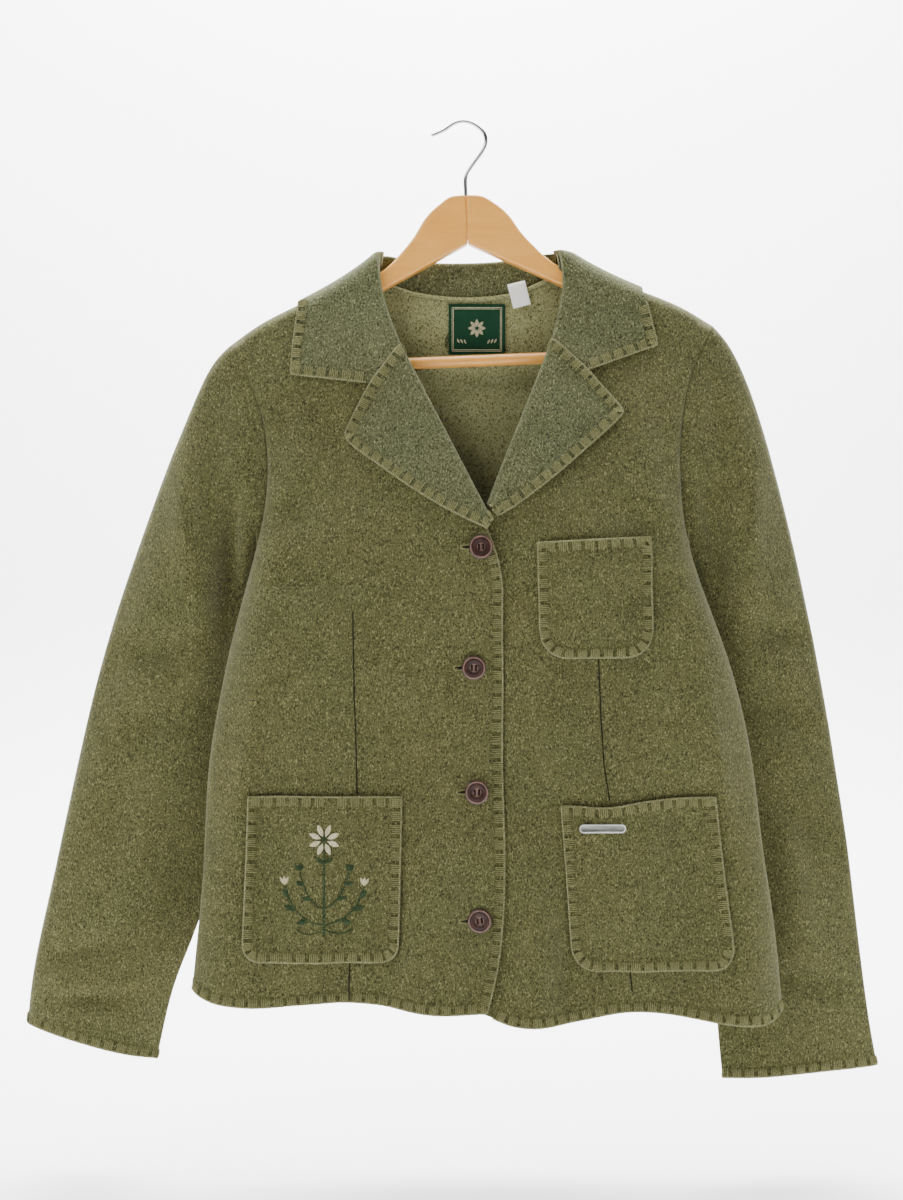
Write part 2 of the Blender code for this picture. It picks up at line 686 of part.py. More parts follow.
def pocket_rows(half, corners, radius, steps=7):
    """A patch with rounded lower corners, as rows from its mouth down."""
    lx, lz, rx, rz, brx, brz, blx, blz = corners
    rows = []
    deep = abs(lz - blz)
    levels = [k / steps * (1 - radius / deep) for k in range(steps)]
    levels += [1 - radius / deep * (1 - sin(pi / 2 * k / 4)) for k in range(5)]
    for level in levels:
        left = Vector((lx + (blx - lx) * level, lz + (blz - lz) * level))
        right = Vector((rx + (brx - rx) * level, rz + (brz - rz) * level))
        into = max(0.0, (level - (1 - radius / deep)) / (radius / deep))
        inset = radius * (1 - sqrt(max(0.0, 1 - into * into))) * 0.96
        across = (right - left).normalized()
        left, right = left + across * inset, right - across * inset
        line = []
        for k in range(steps + 1):
            p = left + (right - left) * k / steps
            line.append(on_panel(half, p.x, p.y, PATCH_CLEAR + POCKET_WALL))
        rows.append(line)
    return rows


def make_pocket(name):
    half, corners, radius = POCKETS[name]
    rows = pocket_rows(half, corners, radius)
    wall(name, rows, (3, 3, Vector((0, -1, 0))), thickness=POCKET_WALL)


def cloth_frame(part, x, z, lift):
    """A place on a panel: its point, and the directions across, up and out."""
    point = on_panel(part, x, z, lift)
    out = (on_shell(part, x, z, 1.0) - on_shell(part, x, z, 0.0)).normalized()
    across = Vector((1, 0, 0)).cross(out).cross(out).normalized()
    across = across if across.x > 0 else -across
    up = out.cross(across).normalized()
    up = up if up.z > 0 else -up
    return point, across, up, out


def turned(name, profile, frame, finish, sides=20):
    """A solid turned about the cloth's normal from (radius, height) points."""
    point, across, up, out = frame
    verts = [point + across * (r * cos(2 * pi * k / sides)) + up * (r * sin(2 * pi * k / sides))
             + out * h for r, h in profile for k in range(sides)]
    faces = [(i * sides + k, i * sides + (k + 1) % sides,
              (i + 1) * sides + (k + 1) % sides, (i + 1) * sides + k)
             for i in range(len(profile) - 1) for k in range(sides)]
    faces.append(tuple(range(sides)))
    faces.append(tuple((len(profile) - 1) * sides + k for k in range(sides)))
    return make_object(name, verts, faces, finish)


def make_cutter(name, verts, faces):
    cutter = make_object(name, verts, faces, "silver")
    cutter.hide_render = True
    cutter.display_type = "WIRE"
    return cutter


def cut_with(item, cutter):
    cut = item.modifiers.new("cut", "BOOLEAN")
    cut.operation = "DIFFERENCE"
    cut.solver = "EXACT"
    cut.object = cutter


def make_button(index, place):
    frame = cloth_frame("right", *place, BUTTON_CLEAR)
    point, across, up, out = frame
    rim, edge = BUTTON_DIAMETER / 2, BUTTON_HEIGHT
    profile = ((rim - 3.4, 0), (rim - 1.0, 0.8), (rim, edge * 0.55), (rim - 0.5, edge - 0.5),
               (rim - 1.5, edge), (rim - 2.7, edge - 0.4), (rim - 4.2, edge - 1.4))
    button = turned("button_%d" % index, profile, frame, "horn_brown")
    verts, faces = [], []
    for sx, sz in ((-1, -1), (1, -1), (1, 1), (-1, 1)):
        base = len(verts)
        middle = point + (across * sx + up * sz) * (BUTTON_HOLE_PITCH / 2)
        for height in (-2.0, BUTTON_HEIGHT + 2.0):
            for k in range(8):
                angle = 2 * pi * k / 8
                verts.append(middle + out * height + across * (BUTTON_HOLE / 2 * cos(angle))
                             + up * (BUTTON_HOLE / 2 * sin(angle)))
        faces += [tuple(base + k for k in range(8)), tuple(base + 8 + k for k in range(8))]
        faces += [(base + k, base + (k + 1) % 8, base + 8 + (k + 1) % 8, base + 8 + k)
                  for k in range(8)]
    cut_with(button, make_cutter("button_%d_holes" % index, verts, faces))


def make_badge():
    """A pill-shaped plate with a raised rim, pinned to the left hip pocket."""
    long, high, thick = BADGE_SIZE
    point, across, up, out = cloth_frame("left", *BADGE_PLACE, PATCH_CLEAR + POCKET_WALL + SEAM)
    outline = []
    for side, turn in ((1, -pi / 2), (-1, pi / 2)):
        outline += [(side * (long - high) / 2 + high / 2 * cos(turn + pi * k / 8),
                     high / 2 * sin(turn + pi * k / 8)) for k in range(9)]
    rings = ((0.0, 0.3), (0.0, thick * 0.7), (0.35, thick), (0.9, thick), (1.2, thick - 0.5))
    verts = [point + across * (u * (1 - 2 * inset / long)) + up * (v * (1 - 2 * inset / high))
             + out * height for inset, height in rings for u, v in outline]
    count = len(outline)
    faces = [(i * count + k, i * count + (k + 1) % count, (i + 1) * count + (k + 1) % count,
              (i + 1) * count + k) for i in range(len(rings) - 1) for k in range(count)]
    faces.append(tuple(range(count)))
    faces.append(tuple((len(rings) - 1) * count + k for k in range(count)))
    make_object("badge_bar", verts, faces, "silver")


def make_neck_label():
    wide, high, thick = LABEL_SIZE
    cx, cz = LABEL_CENTRE
    lift = -(WALL + LABEL_CLEAR)
    rows = []
    for r in range(5):
        z = cz + high / 2 - high * r / 4
        rows.append([on_panel("back", cx - wide / 2 + wide * c / 5, z, lift - thick)
                     for c in range(6)])
    wall("neck_label", rows, (2, 2, Vector((0, -1, 0))), thickness=thick, finish="green_label")


def make_care_label():
    wide, high, thick = CARE_SIZE
    slant = radians(CARE_SLANT)
    top = Vector(CARE_TOP)
    across = Vector((cos(slant), 0, sin(slant))) * wide
    down = Vector((sin(slant), -0.06, -cos(slant))) * high
    rows = [[top - across / 2 + across * c / 3 + down * r / 4 for c in range(4)]
            for r in range(5)]
    wall("care_label", rows, (2, 1, Vector((0, -1, 0))), thickness=thick, finish="white_label")


def make_arm(half):
    side = -1 if half == "right" else 1
    outline = [hang(side * x, z) for x, z in ARM]
    count = len(outline)
    verts = [Vector((x, y, z)) for y in (-WOOD / 2, WOOD / 2) for x, z in outline]
    faces = [tuple(range(count)), tuple(count + k for k in range(count))]
    faces += [(k, (k + 1) % count, count + (k + 1) % count, count + k) for k in range(count)]
    arm = make_object("hanger_arm_" + half, verts, faces, "beech")
    face_edges = []
    for edge in arm.data.edges:
        a, b = (arm.data.vertices[v].co for v in edge.vertices)
        centre_end = all(abs(p.x * cos(TILT) + (p.z - HOOK_WIRE / 2 * MM) * sin(TILT)) < MM
                         for p in (a, b))
        if abs(a.y - b.y) < MM and not centre_end:
            face_edges.append(edge.index)
    weights = arm.data.attributes.new("bevel_weight_edge", "FLOAT", "EDGE")
    for index in face_edges:
        weights.data[index].value = 1.0
    bevel = arm.modifiers.new("rounded", "BEVEL")
    bevel.limit_method = "WEIGHT"
    bevel.width = WOOD_EDGE * MM
    bevel.segments = 2
    bore = HOOK_WIRE / 2 + SHANK_CLEAR
    ring = [(bore * cos(2 * pi * k / 12), bore * sin(2 * pi * k / 12)) for k in range(12)]
    points = []
    for z in (SHANK_END - 2.0, -50.0):
        for u, y in ring:
            x, height = hang(u, z)
            points.append(Vector((x, y, height)))
    sides = [tuple(range(12)), tuple(12 + k for k in range(12))]
    sides += [(k, (k + 1) % 12, 12 + (k + 1) % 12, 12 + k) for k in range(12)]
    cut_with(arm, make_cutter("shank_bore_" + half, points, sides))


def tube(name, path, radius, finish, sides=10, round_end=False):
    """A round bar along a path in the hanger's plane, with flat or rounded ends."""
    rings = []
    for i, p in enumerate(path):
        along = (path[min(i + 1, len(path) - 1)] - path[max(i - 1, 0)]).normalized()
        rings.append((p, along, radius))
    if round_end:
        p, along, _ = rings[-1]
        rings += [(p + along * radius * sin(a), along, radius * cos(a))
                  for a in (pi / 6, pi / 3, pi / 2.2)]
    verts = []
    for p, along, size in rings:
        side = Vector((0, 1, 0))
        up = along.cross(side).normalized()
        verts += [p + side * (size * cos(2 * pi * k / sides)) + up * (size * sin(2 * pi * k / sides))
                  for k in range(sides)]
    faces = [(i * sides + k, i * sides + (k + 1) % sides, (i + 1) * sides + (k + 1) % sides,
              (i + 1) * sides + k) for i in range(len(rings) - 1) for k in range(sides)]
    faces.append(tuple(range(sides)))
    faces.append(tuple((len(rings) - 1) * sides + k for k in range(sides)))
    return make_object(name, verts, faces, finish)


def make_hanger():
    for half in ("right", "left"):
        make_arm(half)
    ends = [hang(x, BAR_HEIGHT) for x in (-BAR_END, BAR_END)]
    tube("hanger_bar", [Vector((x, 0, z)) for x, z in ends], BAR_DIAMETER / 2, "beech", 16)
    points = [[Vector((x, 0, z))] for x, z in (hang(*p) for p in HOOK)]
    path = [row[0] for row in blend_rows(points, 2)]
    tube("hanger_hook", path, HOOK_WIRE / 2, "chrome", 10, round_end=True)


def main():
    clear_scene()
    for half in ("right", "left"):
        make_front(half)
        make_sleeve(half)
        make_lapel(half)
    make_back()
    make_collar()
    for name in POCKETS:
        make_pocket(name)
    for index, place in enumerate(BUTTONS, start=1):
        make_button(index, place)
    make_badge()
    make_neck_label()
    make_care_label()
    make_hanger()


main()
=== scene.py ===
from math import cos, hypot, pi, radians, sin, sqrt

import bmesh
import bpy
import numpy as np
from mathutils import Matrix, Vector
from mathutils.bvhtree import BVHTree


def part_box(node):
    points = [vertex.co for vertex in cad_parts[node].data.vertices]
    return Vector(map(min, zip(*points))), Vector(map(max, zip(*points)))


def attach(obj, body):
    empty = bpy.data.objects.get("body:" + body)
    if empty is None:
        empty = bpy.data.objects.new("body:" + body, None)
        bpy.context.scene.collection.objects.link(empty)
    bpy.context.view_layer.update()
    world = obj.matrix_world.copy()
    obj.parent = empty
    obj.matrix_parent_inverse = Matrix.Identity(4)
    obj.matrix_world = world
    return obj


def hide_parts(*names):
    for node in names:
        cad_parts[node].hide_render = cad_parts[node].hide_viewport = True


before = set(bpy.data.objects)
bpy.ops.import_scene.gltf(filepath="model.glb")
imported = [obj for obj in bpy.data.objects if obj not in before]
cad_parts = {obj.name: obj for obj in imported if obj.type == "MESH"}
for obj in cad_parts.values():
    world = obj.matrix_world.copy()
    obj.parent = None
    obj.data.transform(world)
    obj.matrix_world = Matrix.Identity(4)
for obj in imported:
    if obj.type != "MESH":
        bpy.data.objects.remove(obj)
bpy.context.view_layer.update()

mm = 0.001
print("jacket: frame loaded")

cameraSetup = {"place": (-0.0101, -1.6, -0.41975), "lens": 54.545, "sensor": 36.0}


def addCamera():
    data = bpy.data.cameras.new("camera")
    data.sensor_fit = "VERTICAL"
    data.sensor_height = cameraSetup["sensor"]
    data.lens = cameraSetup["lens"]
    data.clip_end = 50
    camera = bpy.data.objects.new("camera", data)
    camera.location = cameraSetup["place"]
    camera.rotation_euler = (radians(90), 0, 0)
    bpy.context.scene.collection.objects.link(camera)
    bpy.context.scene.camera = camera


addCamera()


# pale floor that rises into a wall behind the jacket
studio = {"floor": -0.93, "wall": 2.6, "reach": 5.0, "height": 5.0, "bend": 0.5,
          "colour": (0.95, 0.95, 0.95, 1), "sky": (0.93, 0.95, 1.0, 1)}
lamps = [
    # name, place, aim, size, power, colour
    ("key", (-1.6, -1.7, 1.3), (0.0, 0.0, -0.40), 0.9, 42, (1.0, 0.985, 0.96)),
    ("fill", (1.7, -2.0, -0.1), (0.0, 0.0, -0.45), 1.8, 6, (0.95, 0.98, 1.0)),
    ("top", (0.1, -0.5, 1.7), (0.0, 0.1, -0.30), 1.4, 13, (1.0, 1.0, 1.0)),
    ("wall", (0.0, 1.2, 2.4), (0.0, 2.6, -0.4), 3.4, 880, (1.0, 1.0, 1.0)),
]


def link(item):
    bpy.context.scene.collection.objects.link(item)
    return item


def only(item):
    for other in bpy.context.selected_objects:
        other.select_set(False)
    item.select_set(True)
    bpy.context.view_layer.objects.active = item


def setMode(mode):
    bpy.ops.object.mode_set(mode=mode)


def bevel(item, width, segments, angle=30):
    only(item)
    soft = item.modifiers.new("soft", "BEVEL")
    soft.width = width
    soft.segments = segments
    soft.limit_method = "ANGLE"
    soft.angle_limit = radians(angle)
    bpy.ops.object.modifier_apply(modifier="soft")


def smoothShade(item, angle):
    only(item)
    bpy.ops.object.shade_smooth_by_angle(angle=radians(angle))


def setInputs(node, values):
    for key, value in values.items():
        node.inputs[key].default_value = value


def addStudio():
    middle = (0, studio["wall"] - studio["reach"], studio["floor"])
    bpy.ops.mesh.primitive_plane_add(size=2 * studio["reach"], location=middle)
    floor = bpy.context.object
    floor.name = "floor"
    only(floor)
    setMode("EDIT")
    work = bmesh.from_edit_mesh(floor.data)
    for edge in work.edges:
        edge.select = all(v.co.y > 0 for v in edge.verts)
    work.select_flush_mode()
    bpy.ops.mesh.extrude_edges_move(TRANSFORM_OT_translate={"value": (0, 0, studio["height"])})
    setMode("OBJECT")
    bevel(floor, studio["bend"], 12)
    bpy.ops.object.shade_smooth()
    paint = bpy.data.materials.new("studioPaper")
    paint.use_nodes = True
    setInputs(paint.node_tree.nodes["Principled BSDF"], {"Base Color": studio["colour"], "Roughness": 0.9})
    floor.data.materials.append(paint)
    world = bpy.data.worlds.new("studio")
    world.use_nodes = True
    setInputs(world.node_tree.nodes["Background"], {"Color": studio["sky"], "Strength": 0.22})
    bpy.context.scene.world = world
    for name, place, aim, size, power, colour in lamps:
        data = bpy.data.lights.new(name, "AREA")
        data.shape = "DISK"
        data.size = size
        data.energy = power
        data.color = colour
        lamp = link(bpy.data.objects.new(name, data))
        lamp.location = place
        lamp.rotation_euler = (Vector(aim) - Vector(place)).to_track_quat("-Z", "Y").to_euler()


addStudio()
print("jacket: camera, floor and light")


# materials
def newGroup(name, inputs, outputs):
    group = bpy.data.node_groups.new(name, "ShaderNodeTree")
    for label, value in inputs.items():
        kind = "NodeSocketColor" if isinstance(value, tuple) else "NodeSocketFloat"
        group.interface.new_socket(label, in_out="INPUT", socket_type=kind).default_value = value
    for label in outputs:
        kind = "NodeSocketColor" if label == "Color" else "NodeSocketFloat"
        group.interface.new_socket(label, in_out="OUTPUT", socket_type=kind)
    return group


def addNode(tree, kind, values=None, settings=None):
    node = tree.nodes.new(kind)
    for key, value in (settings or {}).items():
        setattr(node, key, value)
    setInputs(node, values or {})
    return node


def objectPlace(tree):
    return addNode(tree, "ShaderNodeTexCoord").outputs["Object"]


def fillInputs(tree, node, values):
    # links where a socket is given, plain values elsewhere
    for index, value in values.items():
        if hasattr(value, "links"):
            tree.links.new(value, node.inputs[index])
        else:
            node.inputs[index].default_value = value


def mixColours(tree, amount, first, second):
    node = addNode(tree, "ShaderNodeMix", settings={"data_type": "RGBA"})
    fillInputs(tree, node, {0: amount, 6: first, 7: second})
    return node.outputs[2]


def joined(tree, how, first, second):
    node = addNode(tree, "ShaderNodeMath", settings={"operation": how})
    fillInputs(tree, node, {0: first, 1: second})
    return node.outputs[0]


def ranged(tree, value, low, high, toLow=0.0, toHigh=1.0):
    values = {"From Min": low, "From Max": high, "To Min": toLow, "To Max": toHigh}
    node = addNode(tree, "ShaderNodeMapRange", values)
    tree.links.new(value, node.inputs["Value"])
    return node.outputs["Result"]


def noiseAt(tree, coords, scale, detail=3.0, rough=0.55, stretch=(1, 1, 1)):
    if stretch != (1, 1, 1):
        mapping = addNode(tree, "ShaderNodeMapping", {"Scale": stretch})
        tree.links.new(coords, mapping.inputs["Vector"])
        coords = mapping.outputs["Vector"]
    node = addNode(tree, "ShaderNodeTexNoise", {"Scale": scale, "Detail": detail, "Roughness": rough})
    tree.links.new(coords, node.inputs["Vector"])
    return node.outputs["Fac"]


def felt():
    tree = newGroup("feltedWool", {
        "Base": (0.1, 0.1, 0.05, 1), "Dark Fibre": (0.02, 0.02, 0.01, 1),
        "Light Fibre": (0.3, 0.3, 0.2, 1), "Warm": (0.15, 0.12, 0.05, 1), "Flecks": 1.0,
    }, ["Color", "Height", "Roughness"])
    ins = addNode(tree, "NodeGroupInput").outputs
    out = addNode(tree, "NodeGroupOutput").inputs
    place = objectPlace(tree)
    patches = ranged(tree, noiseAt(tree, place, 14, 3, 0.6), 0.35, 0.68)
    cloud = ranged(tree, noiseAt(tree, place, 60, 4, 0.65), 0.3, 0.7)
    tufts = noiseAt(tree, place, 820, 3, 0.7, (1, 1, 0.6))
    hairs = noiseAt(tree, place, 1000, 3, 0.6, (1.4, 1, 0.42))
    slantHairs = noiseAt(tree, place, 800, 2, 0.5, (0.5, 1, 1.3))
    layers = [
        # mask, strength, colour laid over, whether the flecks' share scales it
        (patches, 0.55, "Warm", False),
        (cloud, 0.12, "Light Fibre", False),
        (ranged(tree, tufts, 0.445, 0.39), 0.95, "Dark Fibre", True),
        (ranged(tree, slantHairs, 0.40, 0.34), 0.8, "Dark Fibre", True),
        (ranged(tree, tufts, 0.585, 0.635), 0.9, "Light Fibre", True),
        (ranged(tree, hairs, 0.62, 0.68), 0.85, "Light Fibre", True),
    ]
    colour = ins["Base"]
    for mask, strength, over, fleck in layers:
        if fleck:
            mask = joined(tree, "MULTIPLY", mask, ins["Flecks"])
        colour = mixColours(tree, joined(tree, "MULTIPLY", mask, strength), colour, ins[over])
    height = joined(tree, "MULTIPLY", tufts, 0.7)
    height = joined(tree, "ADD", height, joined(tree, "MULTIPLY", hairs, 0.35))
    height = joined(tree, "ADD", height, joined(tree, "MULTIPLY", cloud, 0.25))
    tree.links.new(colour, out["Color"])
    tree.links.new(height, out["Height"])
    tree.links.new(ranged(tree, tufts, 0.3, 0.7, 0.98, 0.86), out["Roughness"])
    return tree


def twist():
    group = newGroup("threadTwist", {
        "Base": (0.2, 0.2, 0.1, 1), "Shade": (0.08, 0.08, 0.04, 1), "Pitch": 900.0,
    }, ["Color", "Height"])
    ins = addNode(group, "NodeGroupInput").outputs
    out = addNode(group, "NodeGroupOutput").inputs
    fibre = addNode(group, "ShaderNodeTexNoise", {"Detail": 3.0, "Roughness": 0.6})
    group.links.new(objectPlace(group), fibre.inputs["Vector"])
    group.links.new(ins["Pitch"], fibre.inputs["Scale"])
    mask = ranged(group, fibre.outputs["Fac"], 0.38, 0.62)
    group.links.new(mixColours(group, mask, ins["Shade"], ins["Base"]), out["Color"])
    group.links.new(mask, out["Height"])
    return group


feltGroup = felt()
twistGroup = twist()


def newMaterial(name):
    made = bpy.data.materials.new(name)
    made.use_nodes = True
    return made, made.node_tree, made.node_tree.nodes["Principled BSDF"]


def placeGroup(tree, group, values):
    return addNode(tree, "ShaderNodeGroup", values, {"node_tree": group}).outputs


def raised(tree, shader, height, depth, strength):
    bump = addNode(tree, "ShaderNodeBump", {"Distance": depth, "Strength": strength})
    tree.links.new(height, bump.inputs["Height"])
    tree.links.new(bump.outputs["Normal"], shader.inputs["Normal"])


def mottled(name, noise, spread, first, second, values):
    # two colours mixed by one noise
    made, tree, shader = newMaterial(name)
    amount = ranged(tree, noiseAt(tree, objectPlace(tree), *noise), *spread)
    tree.links.new(mixColours(tree, amount, first, second), shader.inputs["Base Color"])
    setInputs(shader, values)
    return made


woolColours = {
    "wool": {"Base": (0.047, 0.048, 0.0140, 1), "Dark Fibre": (0.004, 0.004, 0.0012, 1),
             "Light Fibre": (0.19, 0.185, 0.076, 1), "Warm": (0.059, 0.051, 0.0145, 1), "Flecks": 1.0},
    "woolUpper": {"Base": (0.050, 0.057, 0.0225, 1), "Dark Fibre": (0.004, 0.005, 0.0015, 1),
                  "Light Fibre": (0.19, 0.20, 0.10, 1), "Warm": (0.058, 0.056, 0.021, 1), "Flecks": 1.0},
    # the inside faces use a much paler copy of the felt: painted light that brightens the jacket's shaded
    # inside
    "woolInsidePaintedLight": {"Base": (0.195, 0.200, 0.085, 1), "Dark Fibre": (0.016, 0.016, 0.006, 1),
                   "Light Fibre": (0.34, 0.33, 0.18, 1), "Warm": (0.180, 0.166, 0.065, 1), "Flecks": 0.9},
}


def woolMaterial(name):
    made, tree, shader = newMaterial(name)
    cloth = placeGroup(tree, feltGroup, woolColours[name])
    tree.links.new(cloth["Color"], shader.inputs["Base Color"])
    tree.links.new(cloth["Roughness"], shader.inputs["Roughness"])
    setInputs(shader, {"Specular IOR Level": 0.12, "Sheen Weight": 0.22, "Sheen Roughness": 0.6,
                       "Sheen Tint": (0.62, 0.64, 0.45, 1)})
    raised(tree, shader, cloth["Height"], 0.0011, 0.5)
    return made


# light and dark colour, fibre pitch, roughness
threadColours = {
    "edgeThread": ((0.185, 0.182, 0.078, 1), (0.095, 0.092, 0.036, 1), 900, 0.8),
    "cordThread": ((0.225, 0.22, 0.115, 1), (0.095, 0.092, 0.042, 1), 900, 0.8),
    "greenThread": ((0.030, 0.060, 0.022, 1), (0.012, 0.024, 0.009, 1), 1100, 0.55),
    "creamThread": ((0.66, 0.60, 0.40, 1), (0.38, 0.33, 0.19, 1), 1100, 0.5),
    "buttonThread": ((0.016, 0.007, 0.006, 1), (0.008, 0.004, 0.003, 1), 1100, 0.7),
    # painted shade: a near-black thread laid on the cloth where dart grooves and buttonhole slits show only
    # shade
    "paintedShadeThread": ((0.012, 0.011, 0.006, 1), (0.006, 0.006, 0.004, 1), 600, 1.0),
}


def threadMaterial(name):
    base, shade, pitch, rough = threadColours[name]
    made, tree, shader = newMaterial(name)
    thread = placeGroup(tree, twistGroup, {"Base": base, "Shade": shade, "Pitch": pitch})
    tree.links.new(thread["Color"], shader.inputs["Base Color"])
    setInputs(shader, {"Roughness": rough, "Specular IOR Level": 0.15})
    raised(tree, shader, thread["Height"], 0.0004, 0.5)
    return made


wool = woolMaterial("wool")
woolUpper = woolMaterial("woolUpper")
woolInsidePaintedLight = woolMaterial("woolInsidePaintedLight")
threads = {name: threadMaterial(name) for name in threadColours}
print("jacket: cloth and thread materials")


# cloth pieces, refined from the plain solids
clothPieces = {
    # flat size and area in metres, and what it hangs on
    "back": {"flat": (0.52, 0.66), "area": 0.285, "on": ["hanger_arm_right", "hanger_arm_left"]},
    "front_right": {"flat": (0.28, 0.65), "area": 0.142, "on": ["hanger_arm_right"]},
    "front_left": {"flat": (0.30, 0.67), "area": 0.148, "on": ["hanger_arm_left"]},
    "sleeve_right": {"flat": (0.31, 0.65), "area": 0.156, "on": ["front_right"]},
    "sleeve_left": {"flat": (0.31, 0.67), "area": 0.150, "on": ["front_left"]},
    "collar": {"flat": (0.45, 0.11), "area": 0.044, "on": ["back"]},
    "lapel_right": {"flat": (0.13, 0.17), "area": 0.0107, "on": ["front_right"]},
    "lapel_left": {"flat": (0.13, 0.17), "area": 0.0104, "on": ["front_left"]},
    "pocket_chest": {"flat": (0.10, 0.105), "area": 0.0101, "on": ["front_left"]},
    "pocket_hip_right": {"flat": (0.137, 0.142), "area": 0.0192, "on": ["front_right"]},
    "pocket_hip_left": {"flat": (0.147, 0.151), "area": 0.0203, "on": ["front_left"]},
}

# soft folds: from x, z to x, z, half width, depth towards the back, all in millimetres
bodyFolds = [
    (-190, -372, -120, -330, 16, 2.6), (-186, -395, -105, -400, 18, 2.2),
    (-180, -350, -150, -240, 13, 2.0), (-170, -470, -195, -620, 16, -2.4),
    (-150, -560, -175, -740, 18, 2.4), (-120, -620, -128, -770, 16, -1.8),
    (-60, -640, -66, -770, 15, 2.0), (-20, -560, -8, -770, 17, -1.8), (28, -420, 30, -620, 6, 1.2),
    (198, -378, 130, -345, 16, 2.6), (200, -400, 120, -420, 18, 2.2), (186, -350, 170, -250, 13, 1.8),
    (205, -470, 232, -640, 15, -2.6), (180, -560, 205, -760, 18, 2.6), (140, -640, 158, -780, 15, -2.0),
    (95, -690, 90, -780, 14, 2.2), (60, -620, 66, -780, 14, -1.8), (110, -250, 88, -330, 20, 1.6),
    (-120, -250, -96, -330, 20, 1.6), (0, -470, -80, -455, 18, 1.0), (0, -560, -70, -580, 18, 1.0),
]
sleeveFolds = {
    "sleeve_right": [(-198, -325, -212, -440, 10, 4.6),
                     (-214, -245, -222, -400, 16, 2.4), (-246, -300, -232, -420, 13, -1.8),
                     (-236, -455, -300, -470, 14, 2.6), (-232, -500, -300, -545, 15, 2.4),
                     (-280, -560, -330, -640, 16, 2.2), (-262, -600, -300, -690, 14, -1.6),
                     (-300, -720, -372, -735, 12, 1.8), (-290, -768, -362, -772, 7, 1.6)],
    "sleeve_left": [(212, -320, 232, -430, 10, 3.4),
                    (222, -235, 226, -380, 16, 2.4), (256, -290, 250, -420, 13, -1.8),
                    (250, -440, 308, -455, 14, 2.6), (246, -500, 318, -540, 15, 2.4),
                    (270, -590, 335, -640, 16, 2.2), (285, -620, 300, -720, 14, -1.6),
                    (262, -745, 350, -765, 12, 1.6)],
}
ripples = [
    # wave numbers per metre along x and z, phase, height in millimetres
    (21, 9, 0.4, 0.55), (-13, 25, 1.9, 0.5), (38, -17, 0.7, 0.32), (9, 46, 2.6, 0.26), (55, 31, 4.1, 0.16),
]


def foldDepth(points, folds):
    # each fold is deepest at its middle and keeps a share of its depth at its ends
    endShare, rise = 0.35, 0.35
    x, z = points[:, 0] / mm, points[:, 2] / mm
    depth = np.zeros(len(points))
    for x1, z1, x2, z2, wide, deep in folds:
        dx, dz = x2 - x1, z2 - z1
        long = hypot(dx, dz)
        along = ((x - x1) * dx + (z - z1) * dz) / long
        across = ((z - z1) * dx - (x - x1) * dz) / long
        past = np.maximum(np.maximum(-along, along - long), 0)
        inside = np.clip(np.minimum(along, long - along) / (rise * long), 0, 1)
        share = endShare + (1 - endShare) * inside
        depth += deep * np.exp(-(across / wide) ** 2 - (past / wide) ** 2) * share
    for kx, kz, phase, height in ripples:
        depth += height * np.sin(kx * points[:, 0] + kz * points[:, 2] + phase)
    return depth * mm


# how the folds die out, in metres: the shoulder's height over x, and the sides' x over depth below the hook
foldEnds = {
    "shoulder": ([-0.21, -0.07, 0.0, 0.085, 0.22], [-0.195, -0.128, -0.115, -0.12, -0.178]),
    "below": 0.012, "fade": 0.05,
    "right": ([0.2, 0.3, 0.38, 0.48, 0.58, 0.78], [0.200, 0.166, 0.180, 0.204, 0.220, 0.234]),
    "left": ([0.18, 0.3, 0.385, 0.48, 0.57, 0.78], [0.218, 0.186, 0.198, 0.231, 0.250, 0.275]),
    "inset": 0.001, "sideFade": 0.028,
}


def fadeAtShoulder(points):
    top = np.interp(points[:, 0], *foldEnds["shoulder"])
    return np.clip((top - foldEnds["below"] - points[:, 2]) / foldEnds["fade"], 0, 1)


def fadeAtSide(points):
    right = np.interp(-points[:, 2], *foldEnds["right"])
    left = np.interp(-points[:, 2], *foldEnds["left"])
    room = np.minimum(points[:, 0] + right, left - points[:, 0])
    return np.clip((room - foldEnds["inset"]) / foldEnds["sideFade"], 0, 1) ** 0.8


# factors on the folds' depths
foldGain = {"body": 2.9, "sleeve": 3.4, "back": 0.8}
# the stand is raised behind the neck, and the collar's top is levelled
collarTop = {"height": -0.1125, "soft": 0.004, "stand": 0.0055, "foot": -0.152, "rise": 0.024,
             "middle": 0.008, "half": 0.088, "side": 0.012, "front": -0.006, "frontSide": 0.008}
# the sleeve's front is pressed back beside the body, and drawn in at the armpit
sleevePress = {"below": [0.19, 0.3, 0.385], "from": [0.204, 0.172, 0.186], "fade": 0.016, "drawn": 0.03,
               "axis": 0.012, "turn": 0.012, "behind": -0.4}
armpit = {"in": 0.0035, "z": -0.388, "high": 0.03}
# the mouth of the left hip pocket sags
mouthSag = {"centre": 0.124, "wide": 0.026, "deep": 0.0042, "reach": 0.022,
            "x": [0.084, 0.215], "z": [-0.59625, -0.58825]}


def softTop(z, top, soft):
    over = np.maximum(z - (top - soft), 0)
    return z - over + soft * (1 - np.exp(-over / soft))


